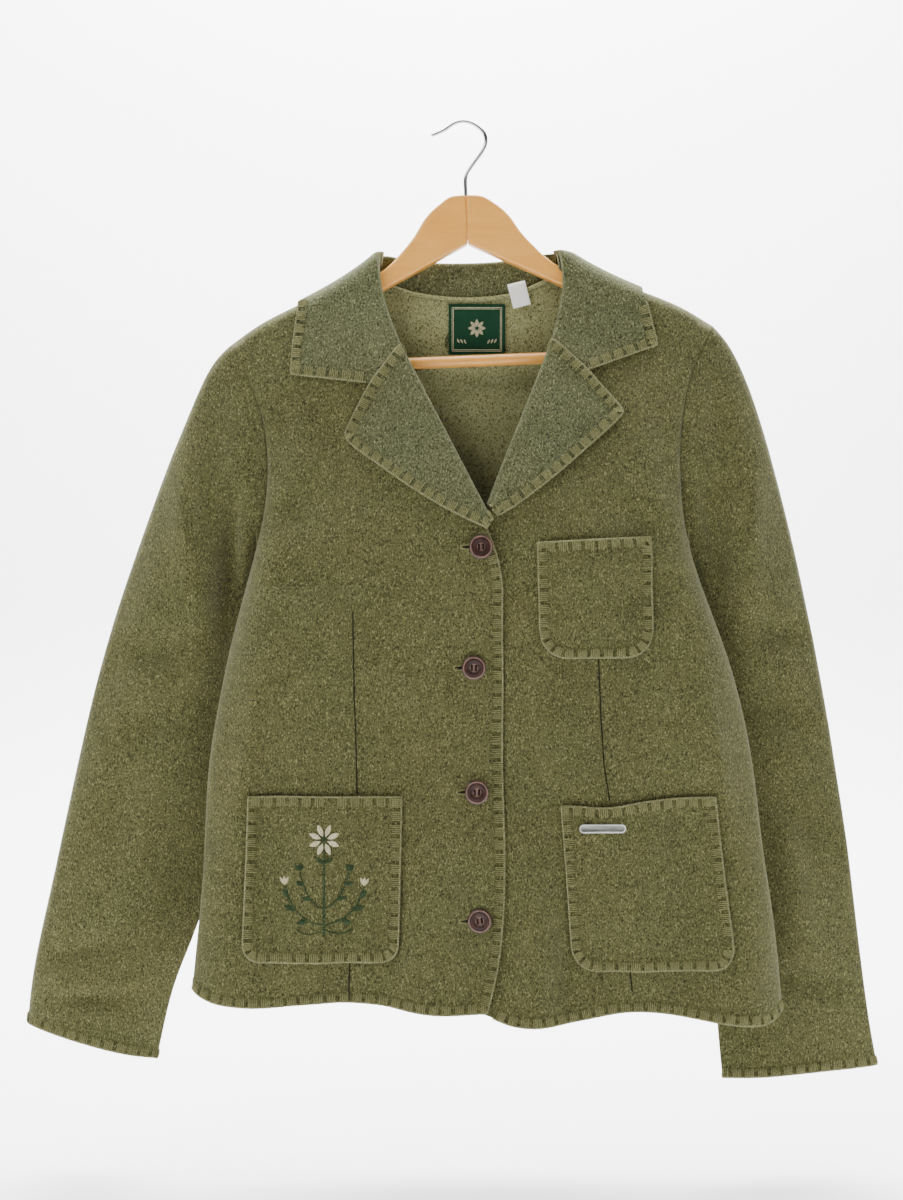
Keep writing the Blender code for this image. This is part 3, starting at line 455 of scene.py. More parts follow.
def drape(node, points):
    moved = points.copy()
    if node == "collar":
        shape = collarTop
        across = shape["half"] - np.abs(points[:, 0] - shape["middle"])
        behind = np.clip(across / shape["side"], 0, 1)
        behind = behind * np.clip((points[:, 1] - shape["front"]) / shape["frontSide"], 0, 1)
        stand = np.clip((points[:, 2] - shape["foot"]) / shape["rise"], 0, 1)
        moved[:, 2] += shape["stand"] * behind * stand
        moved[:, 2] = softTop(moved[:, 2], shape["height"], shape["soft"])
    if node == "pocket_hip_left":
        sag = mouthSag
        near = np.exp(-((points[:, 0] - sag["centre"]) / sag["wide"]) ** 2)
        mouth = np.interp(points[:, 0], sag["x"], sag["z"])
        moved[:, 2] -= sag["deep"] * near * np.clip(1 - (mouth - points[:, 2]) / sag["reach"], 0, 1)
    if node.startswith("sleeve"):
        press = sleevePress
        side = -1 if node.endswith("right") else 1
        depth = foldDepth(points, sleeveFolds[node])
        beyond = side * points[:, 0] - np.interp(-points[:, 2], press["below"], press["from"])
        away = np.clip(beyond / press["fade"], 0, 1)
        facing = np.clip(-(points[:, 1] - press["axis"]) / press["turn"], -1, 1)
        inner = np.clip(1 - beyond / press["drawn"], 0, 1)
        drawn = inner * np.exp(-((points[:, 2] - armpit["z"]) / armpit["high"]) ** 2)
        moved[:, 0] -= side * armpit["in"] * drawn
        moved[:, 1] += foldGain["sleeve"] * depth * away * np.clip(facing, press["behind"], 1)
    else:
        fade = fadeAtShoulder(points) * fadeAtSide(points)
        if node == "back":
            moved[:, 1] -= foldGain["back"] * foldDepth(points, []) * fade
        else:
            moved[:, 1] += foldGain["body"] * foldDepth(points, bodyFolds) * fade
    return moved


def readPoints(mesh):
    flat = np.empty(len(mesh.vertices) * 3)
    mesh.vertices.foreach_get("co", flat)
    return flat.reshape(-1, 3)


def writePoints(mesh, points):
    mesh.vertices.foreach_set("co", points.reshape(-1))
    mesh.update()


def workOn(mesh):
    work = bmesh.new()
    work.from_mesh(mesh)
    return work


def refineNode(node, levels, name, sharpness=50):
    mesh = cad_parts[node].data.copy()
    mesh.materials.clear()
    item = link(bpy.data.objects.new(name, mesh))
    only(item)
    setMode("EDIT")
    bpy.ops.mesh.select_all(action="SELECT")
    bpy.ops.mesh.remove_doubles(threshold=0.00002)
    bpy.ops.mesh.tris_convert_to_quads(face_threshold=radians(60), shape_threshold=radians(80))
    bpy.ops.mesh.select_all(action="DESELECT")
    bpy.ops.mesh.select_mode(type="EDGE")
    bpy.ops.mesh.edges_select_sharp(sharpness=radians(sharpness))
    bpy.ops.transform.edge_crease(value=1)
    setMode("OBJECT")
    if levels:
        smooth = item.modifiers.new("smooth", "SUBSURF")
        smooth.levels = smooth.render_levels = levels
        bpy.ops.object.modifier_apply(modifier="smooth")
    return item


def outerRegion(item, outer, sharpness=50):
    work = workOn(item.data)
    work.faces.ensure_lookup_table()
    limit = radians(sharpness)
    region = {}
    regions = []
    for seed in work.faces:
        if seed.index in region:
            continue
        members = [seed]
        region[seed.index] = len(regions)
        for face in members:
            for edge in face.edges:
                if len(edge.link_faces) == 2 and edge.calc_face_angle(0) < limit:
                    for other in edge.link_faces:
                        if other.index not in region:
                            region[other.index] = len(regions)
                            members.append(other)
        regions.append(members)
    sides = sorted(regions, key=lambda faces: -sum(f.calc_area() for f in faces))[:2]
    chosen = max(sides, key=lambda faces: max(v.co.y * outer for f in faces for v in f.verts))
    inside = {f.index for f in chosen}
    chains = []
    todo = {}
    for face in chosen:
        for edge in face.edges:
            others = [f for f in edge.link_faces if f.index not in inside]
            if others:
                rim = others[0].normal.copy()
                for vert in edge.verts:
                    todo.setdefault(vert.index, []).append((edge, face.normal.copy(), rim))
    used = set()
    for start in list(todo):
        if start in used:
            continue
        chain = []
        at = start
        while at not in used:
            used.add(at)
            vert = next(v for v in todo[at][0][0].verts if v.index == at)
            normal = sum((t[1] for t in todo[at]), Vector()).normalized()
            rim = sum((t[2] for t in todo[at]), Vector()).normalized()
            chain.append((vert.co.copy(), normal, rim))
            steps = [e.other_vert(vert).index for e, _, _ in todo[at]]
            at = next((s for s in steps if s not in used), at)
        chains.append(chain)
    work.free()
    return inside, chains


edges = {}
trees = {}


def keepPiece(node, item):
    work = workOn(item.data)
    trees[node] = BVHTree.FromBMesh(work)
    work.free()


def standIn(item, node):
    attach(item, "root")
    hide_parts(node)


def makeCloth(node):
    # the back needs fewer subdivisions, and its outer side faces backwards
    isBack = node == "back"
    item = refineNode(node, 2 if isBack else 3, node + "Cloth")
    writePoints(item.data, drape(node, readPoints(item.data)))
    inside, edges[node] = outerRegion(item, 1 if isBack else -1)
    item.data.materials.append(woolUpper if node in ("collar", "lapel_right", "lapel_left") else wool)
    item.data.materials.append(woolInsidePaintedLight)
    # inner faces take the paler inside felt, painted light for the shaded inside
    if node in ("back", "front_right", "front_left", "sleeve_right", "sleeve_left"):
        for face in item.data.polygons:
            face.material_index = 0 if face.index in inside else 1
    bevel(item, 0.8 * mm, 2, 50)
    bpy.ops.object.shade_smooth()
    keepPiece(node, item)
    standIn(item, node)
    print("jacket:", node, len(item.data.polygons), "faces")


for node in clothPieces:
    makeCloth(node)


# thread work: thin tubes laid on the cloth
def tubeInto(work, points, radii, sides, material=0):
    rings = []
    for index, point in enumerate(points):
        before = points[max(index - 1, 0)]
        after = points[min(index + 1, len(points) - 1)]
        along = (after - before).normalized()
        across = along.cross(Vector((0.13, -1, 0.21)))
        if across.length < 0.05:
            across = along.cross(Vector((1, 0, 0)))
        across.normalize()
        up = along.cross(across)
        ring = []
        for k in range(sides):
            angle = 2 * pi * (k + 0.5) / sides
            ring.append(work.verts.new(point + (across * cos(angle) + up * sin(angle)) * radii[index]))
        rings.append(ring)
    for first, second in zip(rings, rings[1:]):
        for k in range(sides):
            face = work.faces.new((first[k], first[(k + 1) % sides], second[(k + 1) % sides], second[k]))
            face.material_index = material
            face.smooth = True
    for ring in (rings[0][::-1], rings[-1]):
        face = work.faces.new(ring)
        face.material_index = material


def finishStrands(work, name, materials):
    mesh = bpy.data.meshes.new(name)
    work.normal_update()
    work.to_mesh(mesh)
    work.free()
    for material in materials:
        mesh.materials.append(material)
    item = link(bpy.data.objects.new(name, mesh))
    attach(item, "root")
    return item


def keptRuns(chain, keep):
    # the stretches of a closed edge that keep accepts
    flags = [keep(*entry) for entry in chain]
    if all(flags):
        return [chain + chain[:1]]
    runs = []
    offset = flags.index(False)
    current = []
    for step in range(1, len(chain) + 1):
        index = (offset + step) % len(chain)
        if flags[index]:
            current.append(chain[index])
        elif current:
            runs.append(current)
            current = []
    return [run for run in runs if len(run) > 3]


def walkRun(run, step):
    # the same stretch in equal steps
    places = np.array([tuple(entry[0]) for entry in run])
    lengths = np.concatenate([[0], np.cumsum(np.linalg.norm(np.diff(places, axis=0), axis=1))])
    total = lengths[-1]
    count = max(2, int(round(total / step)))
    at = np.linspace(0, total, count + 1)
    columns = []
    for part in range(3):
        values = np.array([tuple(entry[part]) for entry in run])
        columns.append([np.interp(at, lengths, values[:, k]) for k in range(3)])
    rows = []
    for index in range(count + 1):
        point, normal, rim = (Vector([column[k][index] for k in range(3)]) for column in columns)
        rows.append((point, normal.normalized(), rim.normalized()))
    return rows, total / count


# blocks of threads side by side, and a purl cord on the edge, in millimetres
stitchPlan = {
    "pitch": 11.0, "threads": 5, "apart": 1.55, "deep": 8.2, "radius": 0.72, "walk": 0.8, "wobble": 0.7,
    # where a thread starts on the edge (out, in), how it lies over the cloth (share, lift), and its taper
    "wrap": ((-1.2, -0.3), (0.3, -0.4)), "over": ((0.12, 0.9), (0.5, 0.9), (0.88, 0.9), (1.0, -0.3)),
    "taper": (0.8, 0.95, 1.05, 1.0, 0.85, 0.4),
    "cordStep": 1.15, "cordRadius": 0.95, "cordOut": 0.2,
}


def onHem(point, rim):
    return rim.z < -0.6 and point.z < -0.70


# which stretches of each piece's edge are stitched: place p, surface normal n, edge direction r
stitchedEdges = {
    "front_right": lambda p, n, r: onHem(p, r) or (p.x > -0.02 and p.z < -0.352 and r.x > 0.2),
    "front_left": lambda p, n, r: onHem(p, r) and p.x > 0.022,
    "back": lambda p, n, r: onHem(p, r),
    "sleeve_right": lambda p, n, r: r.z < -0.55 and p.z < -0.74,
    "sleeve_left": lambda p, n, r: r.z < -0.55 and p.z < -0.74,
    "collar": lambda p, n, r: (p.x < -0.083 or p.x > 0.108 or p.y > 0.012) and p.z < -0.158,
    "lapel_right": lambda p, n, r: r.x < -0.15 or r.z < -0.45,
    "lapel_left": lambda p, n, r: (r.x > 0.15 or r.z < -0.45) and p.x > 0.022,
    "pocket_chest": lambda p, n, r: True,
    "pocket_hip_right": lambda p, n, r: True,
    "pocket_hip_left": lambda p, n, r: True,
}


def inwardOf(rows, index):
    point, normal, rim = rows[index]
    before = rows[max(index - 1, 0)][0]
    after = rows[min(index + 1, len(rows) - 1)][0]
    along = (after - before).normalized()
    inward = along.cross(normal).normalized()
    return inward if inward.dot(rim) < 0 else -inward


def onCloth(tree, point, normal, lift):
    found = tree.ray_cast(point + normal * 0.006, -normal, 0.012)
    if found[0] is None:
        return point + normal * lift
    return found[0] + normal * lift


def stitchEdge(work, tree, run, seed):
    plan = stitchPlan
    rows, step = walkRun(run, plan["walk"] * mm)
    perThread = max(1, int(round(plan["apart"] * mm / step)))
    perBlock = max(1, int(round(plan["pitch"] * mm / step)))
    blocks = (len(rows) - 1) // perBlock
    start = (len(rows) - 1 - (blocks - 1) * perBlock) // 2 if blocks else 0
    for block in range(blocks):
        middle = start + block * perBlock
        for thread in range(plan["threads"]):
            index = middle + (thread - plan["threads"] // 2) * perThread
            if not 0 <= index < len(rows):
                continue
            point, normal, rim = rows[index]
            inward = inwardOf(rows, index)
            wobble = sin(index * 1.7 + seed) * 0.5 + sin(index * 0.61 + seed * 2) * 0.5
            deep = (plan["deep"] + wobble * plan["wobble"]) * mm
            points = [point + (normal * out + inward * along) * mm for out, along in plan["wrap"]]
            for share, lift in plan["over"]:
                points.append(onCloth(tree, point + inward * deep * share, normal, lift * mm))
            tubeInto(work, points, [plan["radius"] * mm * k for k in plan["taper"]], 4)
    cord, step = walkRun(run, plan["cordStep"] * mm)
    points = [point + (normal + rim) * plan["cordOut"] * mm for point, normal, rim in cord]
    radii = [plan["cordRadius"] * mm * (1.2 if k % 2 else 0.6) for k in range(len(points))]
    tubeInto(work, points, radii, 5, 1)
    return blocks


for seed, (node, keep) in enumerate(stitchedEdges.items()):
    work = bmesh.new()
    count = 0
    for chain in edges[node]:
        for run in keptRuns(chain, keep):
            count += stitchEdge(work, trees[node], run, seed)
    made = finishStrands(work, node + "Stitches", [threads["edgeThread"], threads["cordThread"]])
    print("jacket:", node, "edge stitches", count, "blocks,", len(made.data.polygons), "faces")


# seams
def layLine(work, tree, line, radius, lift, step=2.0, facing=-1, sides=6):
    points = []
    for (x1, z1), (x2, z2) in zip(line, line[1:]):
        count = max(1, int(hypot(x2 - x1, z2 - z1) / step))
        for k in range(count + (1 if (x2, z2) == line[-1] else 0)):
            t = k / count
            points.append(((x1 + (x2 - x1) * t) * mm, (z1 + (z2 - z1) * t) * mm))
    laid = []
    for x, z in points:
        found = tree.ray_cast(Vector((x, facing * 0.3, z)), Vector((0, -facing, 0)))
        if found[0] is not None:
            laid.append(found[0] + Vector((0, facing * lift * mm, 0)))
    if len(laid) > 1:
        tubeInto(work, laid, [radius * mm] * len(laid), sides)


darts = {
    # lines on the fronts: x, z in millimetres
    "front_right": [[(-94.5, -429.5), (-93.5, -502), (-92.2, -543), (-91.3, -586)],
                    [(-97.2, -730), (-98.2, -762)]],
    "front_left": [[(116, -471), (118, -520), (120.5, -560), (125.5, -592)],
                   [(143, -736), (145, -756)]],
}
# each dart is drawn as a thin near-black strand sunk into the cloth: painted shade standing in for the
# dart's groove
for node, lines in darts.items():
    work = bmesh.new()
    for line in lines:
        layLine(work, trees[node], line, 0.65, -0.15)
    finishStrands(work, node + "DartShade", [threads["paintedShadeThread"]])


def seamAlong(name, places, shift, form, material):
    points = [place + Vector(shift) * mm for place in places[::3]]
    work = bmesh.new()
    tubeInto(work, points, [form["radius"] * mm] * len(points), 8)
    finishStrands(work, name, [material])


# the collar's stand on the back's edge, and the side seams from under the arm to the hem
standSeam = {"from": -0.066, "to": 0.084, "above": -0.17, "shift": (0, -2.1, 0.4), "radius": 1.8}
places = [point for point, normal, rim in edges["back"][0]
          if standSeam["from"] < point.x < standSeam["to"] and point.z > standSeam["above"]]
# the stand seam's cord uses the paler inside felt, with its painted light
seamAlong("standSeam", sorted(places, key=lambda p: p.x), standSeam["shift"], standSeam, woolInsidePaintedLight)
sideSeam = {"top": -0.45, "beyond": 0.19, "radius": 1.7, "in": 1.0}
for node, side in (("front_right", -1), ("front_left", 1)):
    places = [point for point, normal, rim in edges[node][0]
              if side * point.x > sideSeam["beyond"] and point.z < sideSeam["top"] and rim.z > -0.5]
    shift = (-side * sideSeam["in"], sideSeam["in"], 0)
    seamAlong(node + "SideSeam", sorted(places, key=lambda p: p.z), shift, sideSeam, wool)
print("jacket: darts and seams")


# buttons, turned in edit mode and laid on the fronts
def principalFrame(node):
    points = readPoints(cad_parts[node].data)
    centre = (points.min(axis=0) + points.max(axis=0)) / 2
    _, _, axes = np.linalg.svd(points - points.mean(axis=0), full_matrices=False)
    out = Vector(axes[2])
    if out.y > 0:
        out = -out
    return Vector(centre), out


def drapeShift(centre):
    point = np.array([tuple(centre)])
    return Vector(drape("front", point)[0] - point[0])


hornNoise = ((160, 4, 0.6), (0.35, 0.68))
plastic = mottled("buttonHorn", *hornNoise, (0.012, 0.004, 0.003, 1), (0.040, 0.013, 0.009, 1),
                  {"Roughness": 0.32, "Specular IOR Level": 0.4})
paleHorn = mottled("buttonHornPale", *hornNoise, (0.085, 0.043, 0.031, 1), (0.150, 0.086, 0.064, 1),
                   {"Roughness": 0.4, "Specular IOR Level": 0.4})
buttonForm = {
    "diameter": 20.5, "thick": 3.4, "holes": 3.7, "holeSize": 1.05, "edge": 0.28, "turns": (4, -3, 2, 9),
    # rings cut into the face from the rim inwards: width, rise
    "rings": ((0.7, 0.35), (1.3, 0), (0.45, -0.9), (0.45, 0.45), (1.3, 0), (0.8, -1.25), (1.5, 0)),
    # paler from radius to radius
    "paleRings": ((0, 3.7), (8.4, 9.3)),
    # threads through the holes: share of the way, height
    "thread": ((-1, -1.2), (-0.8, 0.6), (0, 1.2), (0.8, 0.6), (1, -1.2)),
    "threadRadius": 0.48, "threadApart": 0.3,
}


def selectTop(item, high):
    work = bmesh.from_edit_mesh(item.data)
    for face in work.faces:
        face.select = face.normal.z > 0.9 and all(v.co.z > high for v in face.verts) and len(face.verts) > 8
    bmesh.update_edit_mesh(item.data)


def makeButton(index):
    node = "button_%d" % index
    form = buttonForm
    centre, out = principalFrame(node)
    bpy.ops.object.select_all(action="DESELECT")
    bpy.ops.mesh.primitive_cylinder_add(vertices=48, radius=form["diameter"] / 2 * mm,
                                        depth=form["thick"] * mm, location=(0, 0, 0))
    item = bpy.context.object
    item.name = "buttonShape%d" % index
    setMode("EDIT")
    bpy.ops.mesh.select_mode(type="FACE")
    selectTop(item, 0)
    for width, rise in form["rings"]:
        bpy.ops.mesh.inset(thickness=width * mm)
        if rise:
            bpy.ops.transform.translate(value=(0, 0, rise * mm))
    setMode("OBJECT")
    reach = form["holes"] / 2 * mm
    for hole in range(4):
        angle = pi / 4 + hole * pi / 2
        bpy.ops.mesh.primitive_cylinder_add(vertices=16, radius=form["holeSize"] * mm, depth=8 * mm,
                                            location=(reach * sqrt(2) * cos(angle),
                                                      reach * sqrt(2) * sin(angle), 0))
        cutter = bpy.context.object
        only(item)
        cut = item.modifiers.new("hole", "BOOLEAN")
        cut.operation = "DIFFERENCE"
        cut.object = cutter
        bpy.ops.object.modifier_apply(modifier="hole")
        bpy.data.objects.remove(cutter, do_unlink=True)
    bevel(item, form["edge"] * mm, 2, 35)
    smoothShade(item, 38)
    turn = out.to_track_quat("Z", "Y").to_matrix().to_4x4()
    tilt = Matrix.Rotation(radians(form["turns"][index - 1]), 4, "Z")
    spot = Matrix.Translation(centre + drapeShift(centre)) @ turn @ tilt
    item.data.transform(spot)
    item.location = (0, 0, 0)
    item.data.materials.append(plastic)
    item.data.materials.append(paleHorn)
    for face in item.data.polygons:
        away = (spot.inverted() @ face.center) / mm
        radius = hypot(away.x, away.y)
        if away.z > 0 and any(low <= radius < high for low, high in form["paleRings"]):
            face.material_index = 1
    standIn(item, node)
    work = bmesh.new()
    for middle in (-reach, reach):
        for side in (-1, 1):
            x = middle + side * form["threadApart"] * mm
            arc = [spot @ Vector((x, share * reach, high * mm)) for share, high in form["thread"]]
            tubeInto(work, arc, [form["threadRadius"] * mm] * len(arc), 6)
    finishStrands(work, "buttonThread%d" % index, [threads["buttonThread"]])


for index in (1, 2, 3, 4):
    makeButton(index)
print("jacket: buttons")

# buttonholes that open towards the wearer's right of each button
holeForm = {"long": 9.6, "from": 7.5, "stitch": 1.9, "rows": 9, "wedge": (0.3, 0.7, 1.15, 1.5),
            "bar": 1.9, "barApart": 0.55}


def makeButtonhole(index):
    centre, out = principalFrame("button_%d" % index)
    form = holeForm
    tree = trees["front_right"]
    # the open slit is drawn as near-black strands laid on the cloth in a widening wedge: painted shade
    # standing in for the opening
    dark = bmesh.new()
    left = centre.x / mm - form["from"] - form["long"]
    right = centre.x / mm - form["from"] + 2
    z = centre.z / mm
    pitch = (right - left - 1) / len(form["wedge"])
    for k, half in enumerate(form["wedge"]):
        low, high = left + 1 + k * pitch, left + 1.3 + (k + 1) * pitch
        for side in (-0.5, 0, 0.5):
            layLine(dark, tree, [(low, z + side * half), (high, z + side * half)], 0.55, 0.05, 1.2)
    finishStrands(dark, "buttonholeSlitShade%d" % index, [threads["paintedShadeThread"]])
    work = bmesh.new()
    for row in range(form["rows"]):
        x = left + 1.2 + row * (right - left - 2) / form["rows"]
        for side in (-1, 1):
            gap = 0.4 + 1.2 * row / form["rows"]
            line = [(x, z + side * gap), (x - 0.15, z + side * (gap + form["stitch"]))]
            layLine(work, tree, line, 0.42, 0.12, 0.8, sides=5)
    for row in (-1, 0, 1):
        x = left + row * form["barApart"]
        layLine(work, tree, [(x, z - form["bar"]), (x, z + form["bar"])], 0.4, 0.15, 0.9, sides=5)
    finishStrands(work, "buttonholeStitches%d" % index, [threads["edgeThread"]])


for index in (1, 2, 3, 4):
    makeButtonhole(index)
print("jacket: buttonholes")

# badge: a blank pill with a raised rim round a darker field
steel = mottled("badgeSteel", (900, 3, 0.6, (0.1, 1, 1)), (0.3, 0.7), (0.42, 0.42, 0.40, 1),
                (0.66, 0.66, 0.64, 1), {"Metallic": 1.0, "Roughness": 0.3})
field = mottled("badgeField", (700, 3, 0.6, (0.12, 1, 1)), (0.3, 0.7), (0.10, 0.10, 0.09, 1),
                (0.24, 0.24, 0.22, 1), {"Metallic": 0.85, "Roughness": 0.42})
badgeForm = {"wide": 40.0, "high": 7.6, "thick": 1.7, "rim": 0.85, "step": 0.25,
             "deep": 0.7, "edge": 0.2}


def makeBadge():
    centre, out = principalFrame("badge_bar")
    form = badgeForm
    bpy.ops.object.select_all(action="DESELECT")
    bpy.ops.mesh.primitive_cylinder_add(vertices=32, radius=form["high"] / 2 * mm, depth=form["thick"] * mm)
    item = bpy.context.object
    item.name = "badge"
    setMode("EDIT")
    work = bmesh.from_edit_mesh(item.data)
    half = (form["wide"] - form["high"]) / 2 * mm
    for vert in work.verts:
        vert.co.x += half if vert.co.x > 0.00001 else -half
    bmesh.update_edit_mesh(item.data)
    bpy.ops.mesh.select_mode(type="FACE")
    selectTop(item, 0)
    bpy.ops.mesh.inset(thickness=form["rim"] * mm)
    bpy.ops.mesh.inset(thickness=form["step"] * mm)
    bpy.ops.transform.translate(value=(0, 0, -form["deep"] * mm))
    work = bmesh.from_edit_mesh(item.data)
    for face in work.faces:
        face.material_index = 1 if face.select else 0
    bmesh.update_edit_mesh(item.data)
    setMode("OBJECT")
    bevel(item, form["edge"] * mm, 2)
    smoothShade(item, 35)
    across = Vector((1, 0, 0))
    upright = out.cross(across).normalized()
    turn = Matrix((out.cross(upright) * -1, upright, out)).transposed().to_4x4()
    item.data.transform(Matrix.Translation(centre + drapeShift(centre)) @ turn)
    item.location = (0, 0, 0)
    item.data.materials.append(steel)
    item.data.materials.append(field)
    standIn(item, "badge_bar")


makeBadge()
print("jacket: badge")


# labels
def wovenMaterial(name, first, second, size, rough):
    made, tree, shader = newMaterial(name)
    place = objectPlace(tree)
    mapping = addNode(tree, "ShaderNodeMapping", {"Scale": (size, 0.0, size)})
    tree.links.new(place, mapping.inputs["Vector"])
    weave = addNode(tree, "ShaderNodeTexChecker", {"Scale": 1.0})
    tree.links.new(mapping.outputs["Vector"], weave.inputs["Vector"])
    soft = ranged(tree, noiseAt(tree, place, 400, 3, 0.6), 0.35, 0.7)
    shade = mixColours(tree, weave.outputs["Fac"], first, second)
    colour = mixColours(tree, joined(tree, "MULTIPLY", soft, 0.35), shade, second)
    tree.links.new(colour, shader.inputs["Base Color"])
    setInputs(shader, {"Roughness": rough, "Specular IOR Level": 0.12})
    raised(tree, shader, weave.outputs["Fac"], 0.0002, 0.35)
    return made


greenWeave = wovenMaterial("greenWeave", (0.003, 0.022, 0.009, 1), (0.007, 0.042, 0.019, 1), 1500, 0.75)
whiteSatin = wovenMaterial("whiteSatin", (0.62, 0.62, 0.58, 1), (0.80, 0.80, 0.77, 1), 1800, 0.45)
labels = {
    # curl and shift to the front in millimetres, flat size in metres, and the piece each is sewn to
    "neck_label": {"cloth": greenWeave, "curl": 0.5, "forward": 0, "flat": (0.05, 0.044), "on": "back"},
    "care_label": {"cloth": whiteSatin, "curl": 1.1, "forward": 3.2, "flat": (0.017, 0.023), "on": "collar"},
}


def makeLabel(node):
    form = labels[node]
    item = refineNode(node, 3, node + "Cloth")
    points = readPoints(item.data)
    low, high = points.min(axis=0), points.max(axis=0)
    share = (points[:, 0] - low[0]) / (high[0] - low[0])
    drop = (high[2] - points[:, 2]) / (high[2] - low[2])
    points[:, 1] -= form["curl"] * mm * (0.5 + 0.5 * np.sin(5.2 * share + 2.5 * drop)) * drop
    points[:, 1] -= form["forward"] * mm
    writePoints(item.data, points)
    smoothShade(item, 50)
    item.data.materials.append(form["cloth"])
    standIn(item, node)
    keepPiece(node, item)


for node in labels:
    makeLabel(node)


def petalStrands(work, tree, centre, length, width, turn, strands, radius, lift=0.25, start=0.0):
    # satin threads side by side along a pointed oval leaf
    cx, cz = centre
    for k in range(strands):
        v = (k + 0.5) / strands
        half = width / 2 * sin(pi * v) ** 0.8
        along = start + length * v
        line = []
        for side in (-1, -0.4, 0.4, 1):
            u = side * half
            line.append((cx + along * cos(turn) - u * sin(turn), cz + along * sin(turn) + u * cos(turn)))
        layLine(work, tree, line, radius, lift, 9, sides=4)


def curvePoint(points, t):
    weights = ((1 - t) ** 2, 2 * t * (1 - t), t * t)
    return tuple(sum(weight * point[k] for weight, point in zip(weights, points)) for k in (0, 1))


# neck label: a woven frame, a small rosette and two rows of leaves
labelMotif = {"wide": 25, "high": 22, "frames": (3.0, 4.2), "petal": (6.4, 3.2), "leaf": (4.2, 1.7),
              "leafLine": -12.5}


def weaveLabel():
    form, tree = labelMotif, trees["neck_label"]
    low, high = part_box("neck_label")
    x, z = ((low[k] + high[k]) / 2 / mm for k in (0, 2))
    work = bmesh.new()
    for inset in form["frames"]:
        w, h = form["wide"] - inset, form["high"] - inset
        corners = [(x - w, z - h), (x + w, z - h), (x + w, z + h), (x - w, z + h), (x - w, z - h)]
        layLine(work, tree, corners, 0.28, 0.12, 1.4, sides=4)
    for k in range(8):
        petalStrands(work, tree, (x, z + 1), *form["petal"], k * pi / 4, 9, 0.33, 0.12, 1.4)
    for side in (-1, 1):
        for k in range(3):
            foot = (x + side * (9.5 + 3 * k), z + form["leafLine"] + k * 0.3)
            petalStrands(work, tree, foot, *form["leaf"], pi / 2 - side * 0.5, 6, 0.28, 0.12)
    finishStrands(work, "labelRosette", [threads["creamThread"]])


weaveLabel()
print("jacket: labels")

# embroidery on the wearer's right hip pocket: an open flower on a leafy sprig, mirrored left to right
motif = {
    "x": -119.0, "z": -657.0, "flower": 32, "trunkRadius": 0.85,
    "trunk": (((0, -50), (0, -20), (0, 20)), ((0, 20), (0, 22), (0, 24))),
    # bent stems with their thread radius
    "stems": ((((0, -40), (26, -38), (34, -8)), 0.65), (((0, -26), (14, -24), (21, 4)), 0.65),
              (((0, -44), (14, -52), (24, -44)), 0.6)),
    # leaves: stem, share of the way, length, width, turn, threads, radius
    "leaves": ((0, 0.30, 10, 4.2, -0.35, 12, 0.5), (0, 0.58, 11, 4.2, 0.35, 12, 0.5),
               (0, 0.82, 9, 4.2, 0.9, 12, 0.5), (1, 0.45, 8, 3.4, 0.25, 10, 0.48),
               (1, 0.8, 7, 3.4, 0.25, 10, 0.48)),
    # buds: colour, place, length, width, lean, spread
    "buds": (("cream", 34, -7, 7.5, 2.6, 0.1, 0.5), ("green", 21.5, 5, 7, 2.8, 0.05, 0.55)),
}


def stem(work, tree, points, side, radius, count=14, slant=0.35):
    line = [curvePoint(points, k / count) for k in range(count + 1)]
    line = [(motif["x"] + side * x, motif["z"] + z) for x, z in line]
    for (x1, z1), (x2, z2) in zip(line, line[1:]):
        layLine(work, tree, [(x1 - slant, z1), (x2 + slant, z2)], radius, 0.3, 6, sides=5)


def embroider():
    tree = trees["pocket_hip_right"]
    x, z = motif["x"], motif["z"]
    work = {"green": bmesh.new(), "cream": bmesh.new()}
    for points in motif["trunk"]:
        stem(work["green"], tree, points, 1, motif["trunkRadius"])
    for side in (-1, 1):
        for points, radius in motif["stems"]:
            stem(work["green"], tree, points, side, radius)
        for index, share, length, width, turn, strands, radius in motif["leaves"]:
            dx, dz = curvePoint(motif["stems"][index][0], share)
            angle = turn if side > 0 else pi - turn
            foot = (x + side * dx, z + dz)
            petalStrands(work["green"], tree, foot, length, width, angle, strands, radius)
        for colour, dx, dz, length, width, lean, spread in motif["buds"]:
            for k in (-1, 0, 1):
                angle = pi / 2 - side * (lean + spread * k)
                petalStrands(work[colour], tree, (x + side * dx, z + dz), length, width, angle, 9, 0.42)
        petalStrands(work["green"], tree, (x, z + 12), 9, 3.6, pi / 2 - side, 9, 0.45)
    top = z + motif["flower"]
    for k in range(8):
        petalStrands(work["cream"], tree, (x, top), 10.5, 4.4, pi / 8 + k * pi / 4, 13, 0.45, 0.35, 3.2)
        petalStrands(work["green"], tree, (x, top), 4.0, 1.5, k * pi / 4, 6, 0.4, 0.3, 3.0)
    for ring, count in ((0.6, 3), (1.7, 7)):
        for k in range(count):
            angle = 2 * pi * k / count
            dx, dz = ring * cos(angle), ring * sin(angle)
            line = [(x + dx - 0.3, top + dz), (x + dx + 0.5, top + dz)]
            layLine(work["green"], tree, line, 0.7, 0.7, 0.4, sides=5)
    finishStrands(work["green"], "embroideryGreen", [threads["greenThread"]])
    finishStrands(work["cream"], "embroideryCream", [threads["creamThread"]])


embroider()
print("jacket: embroidery")


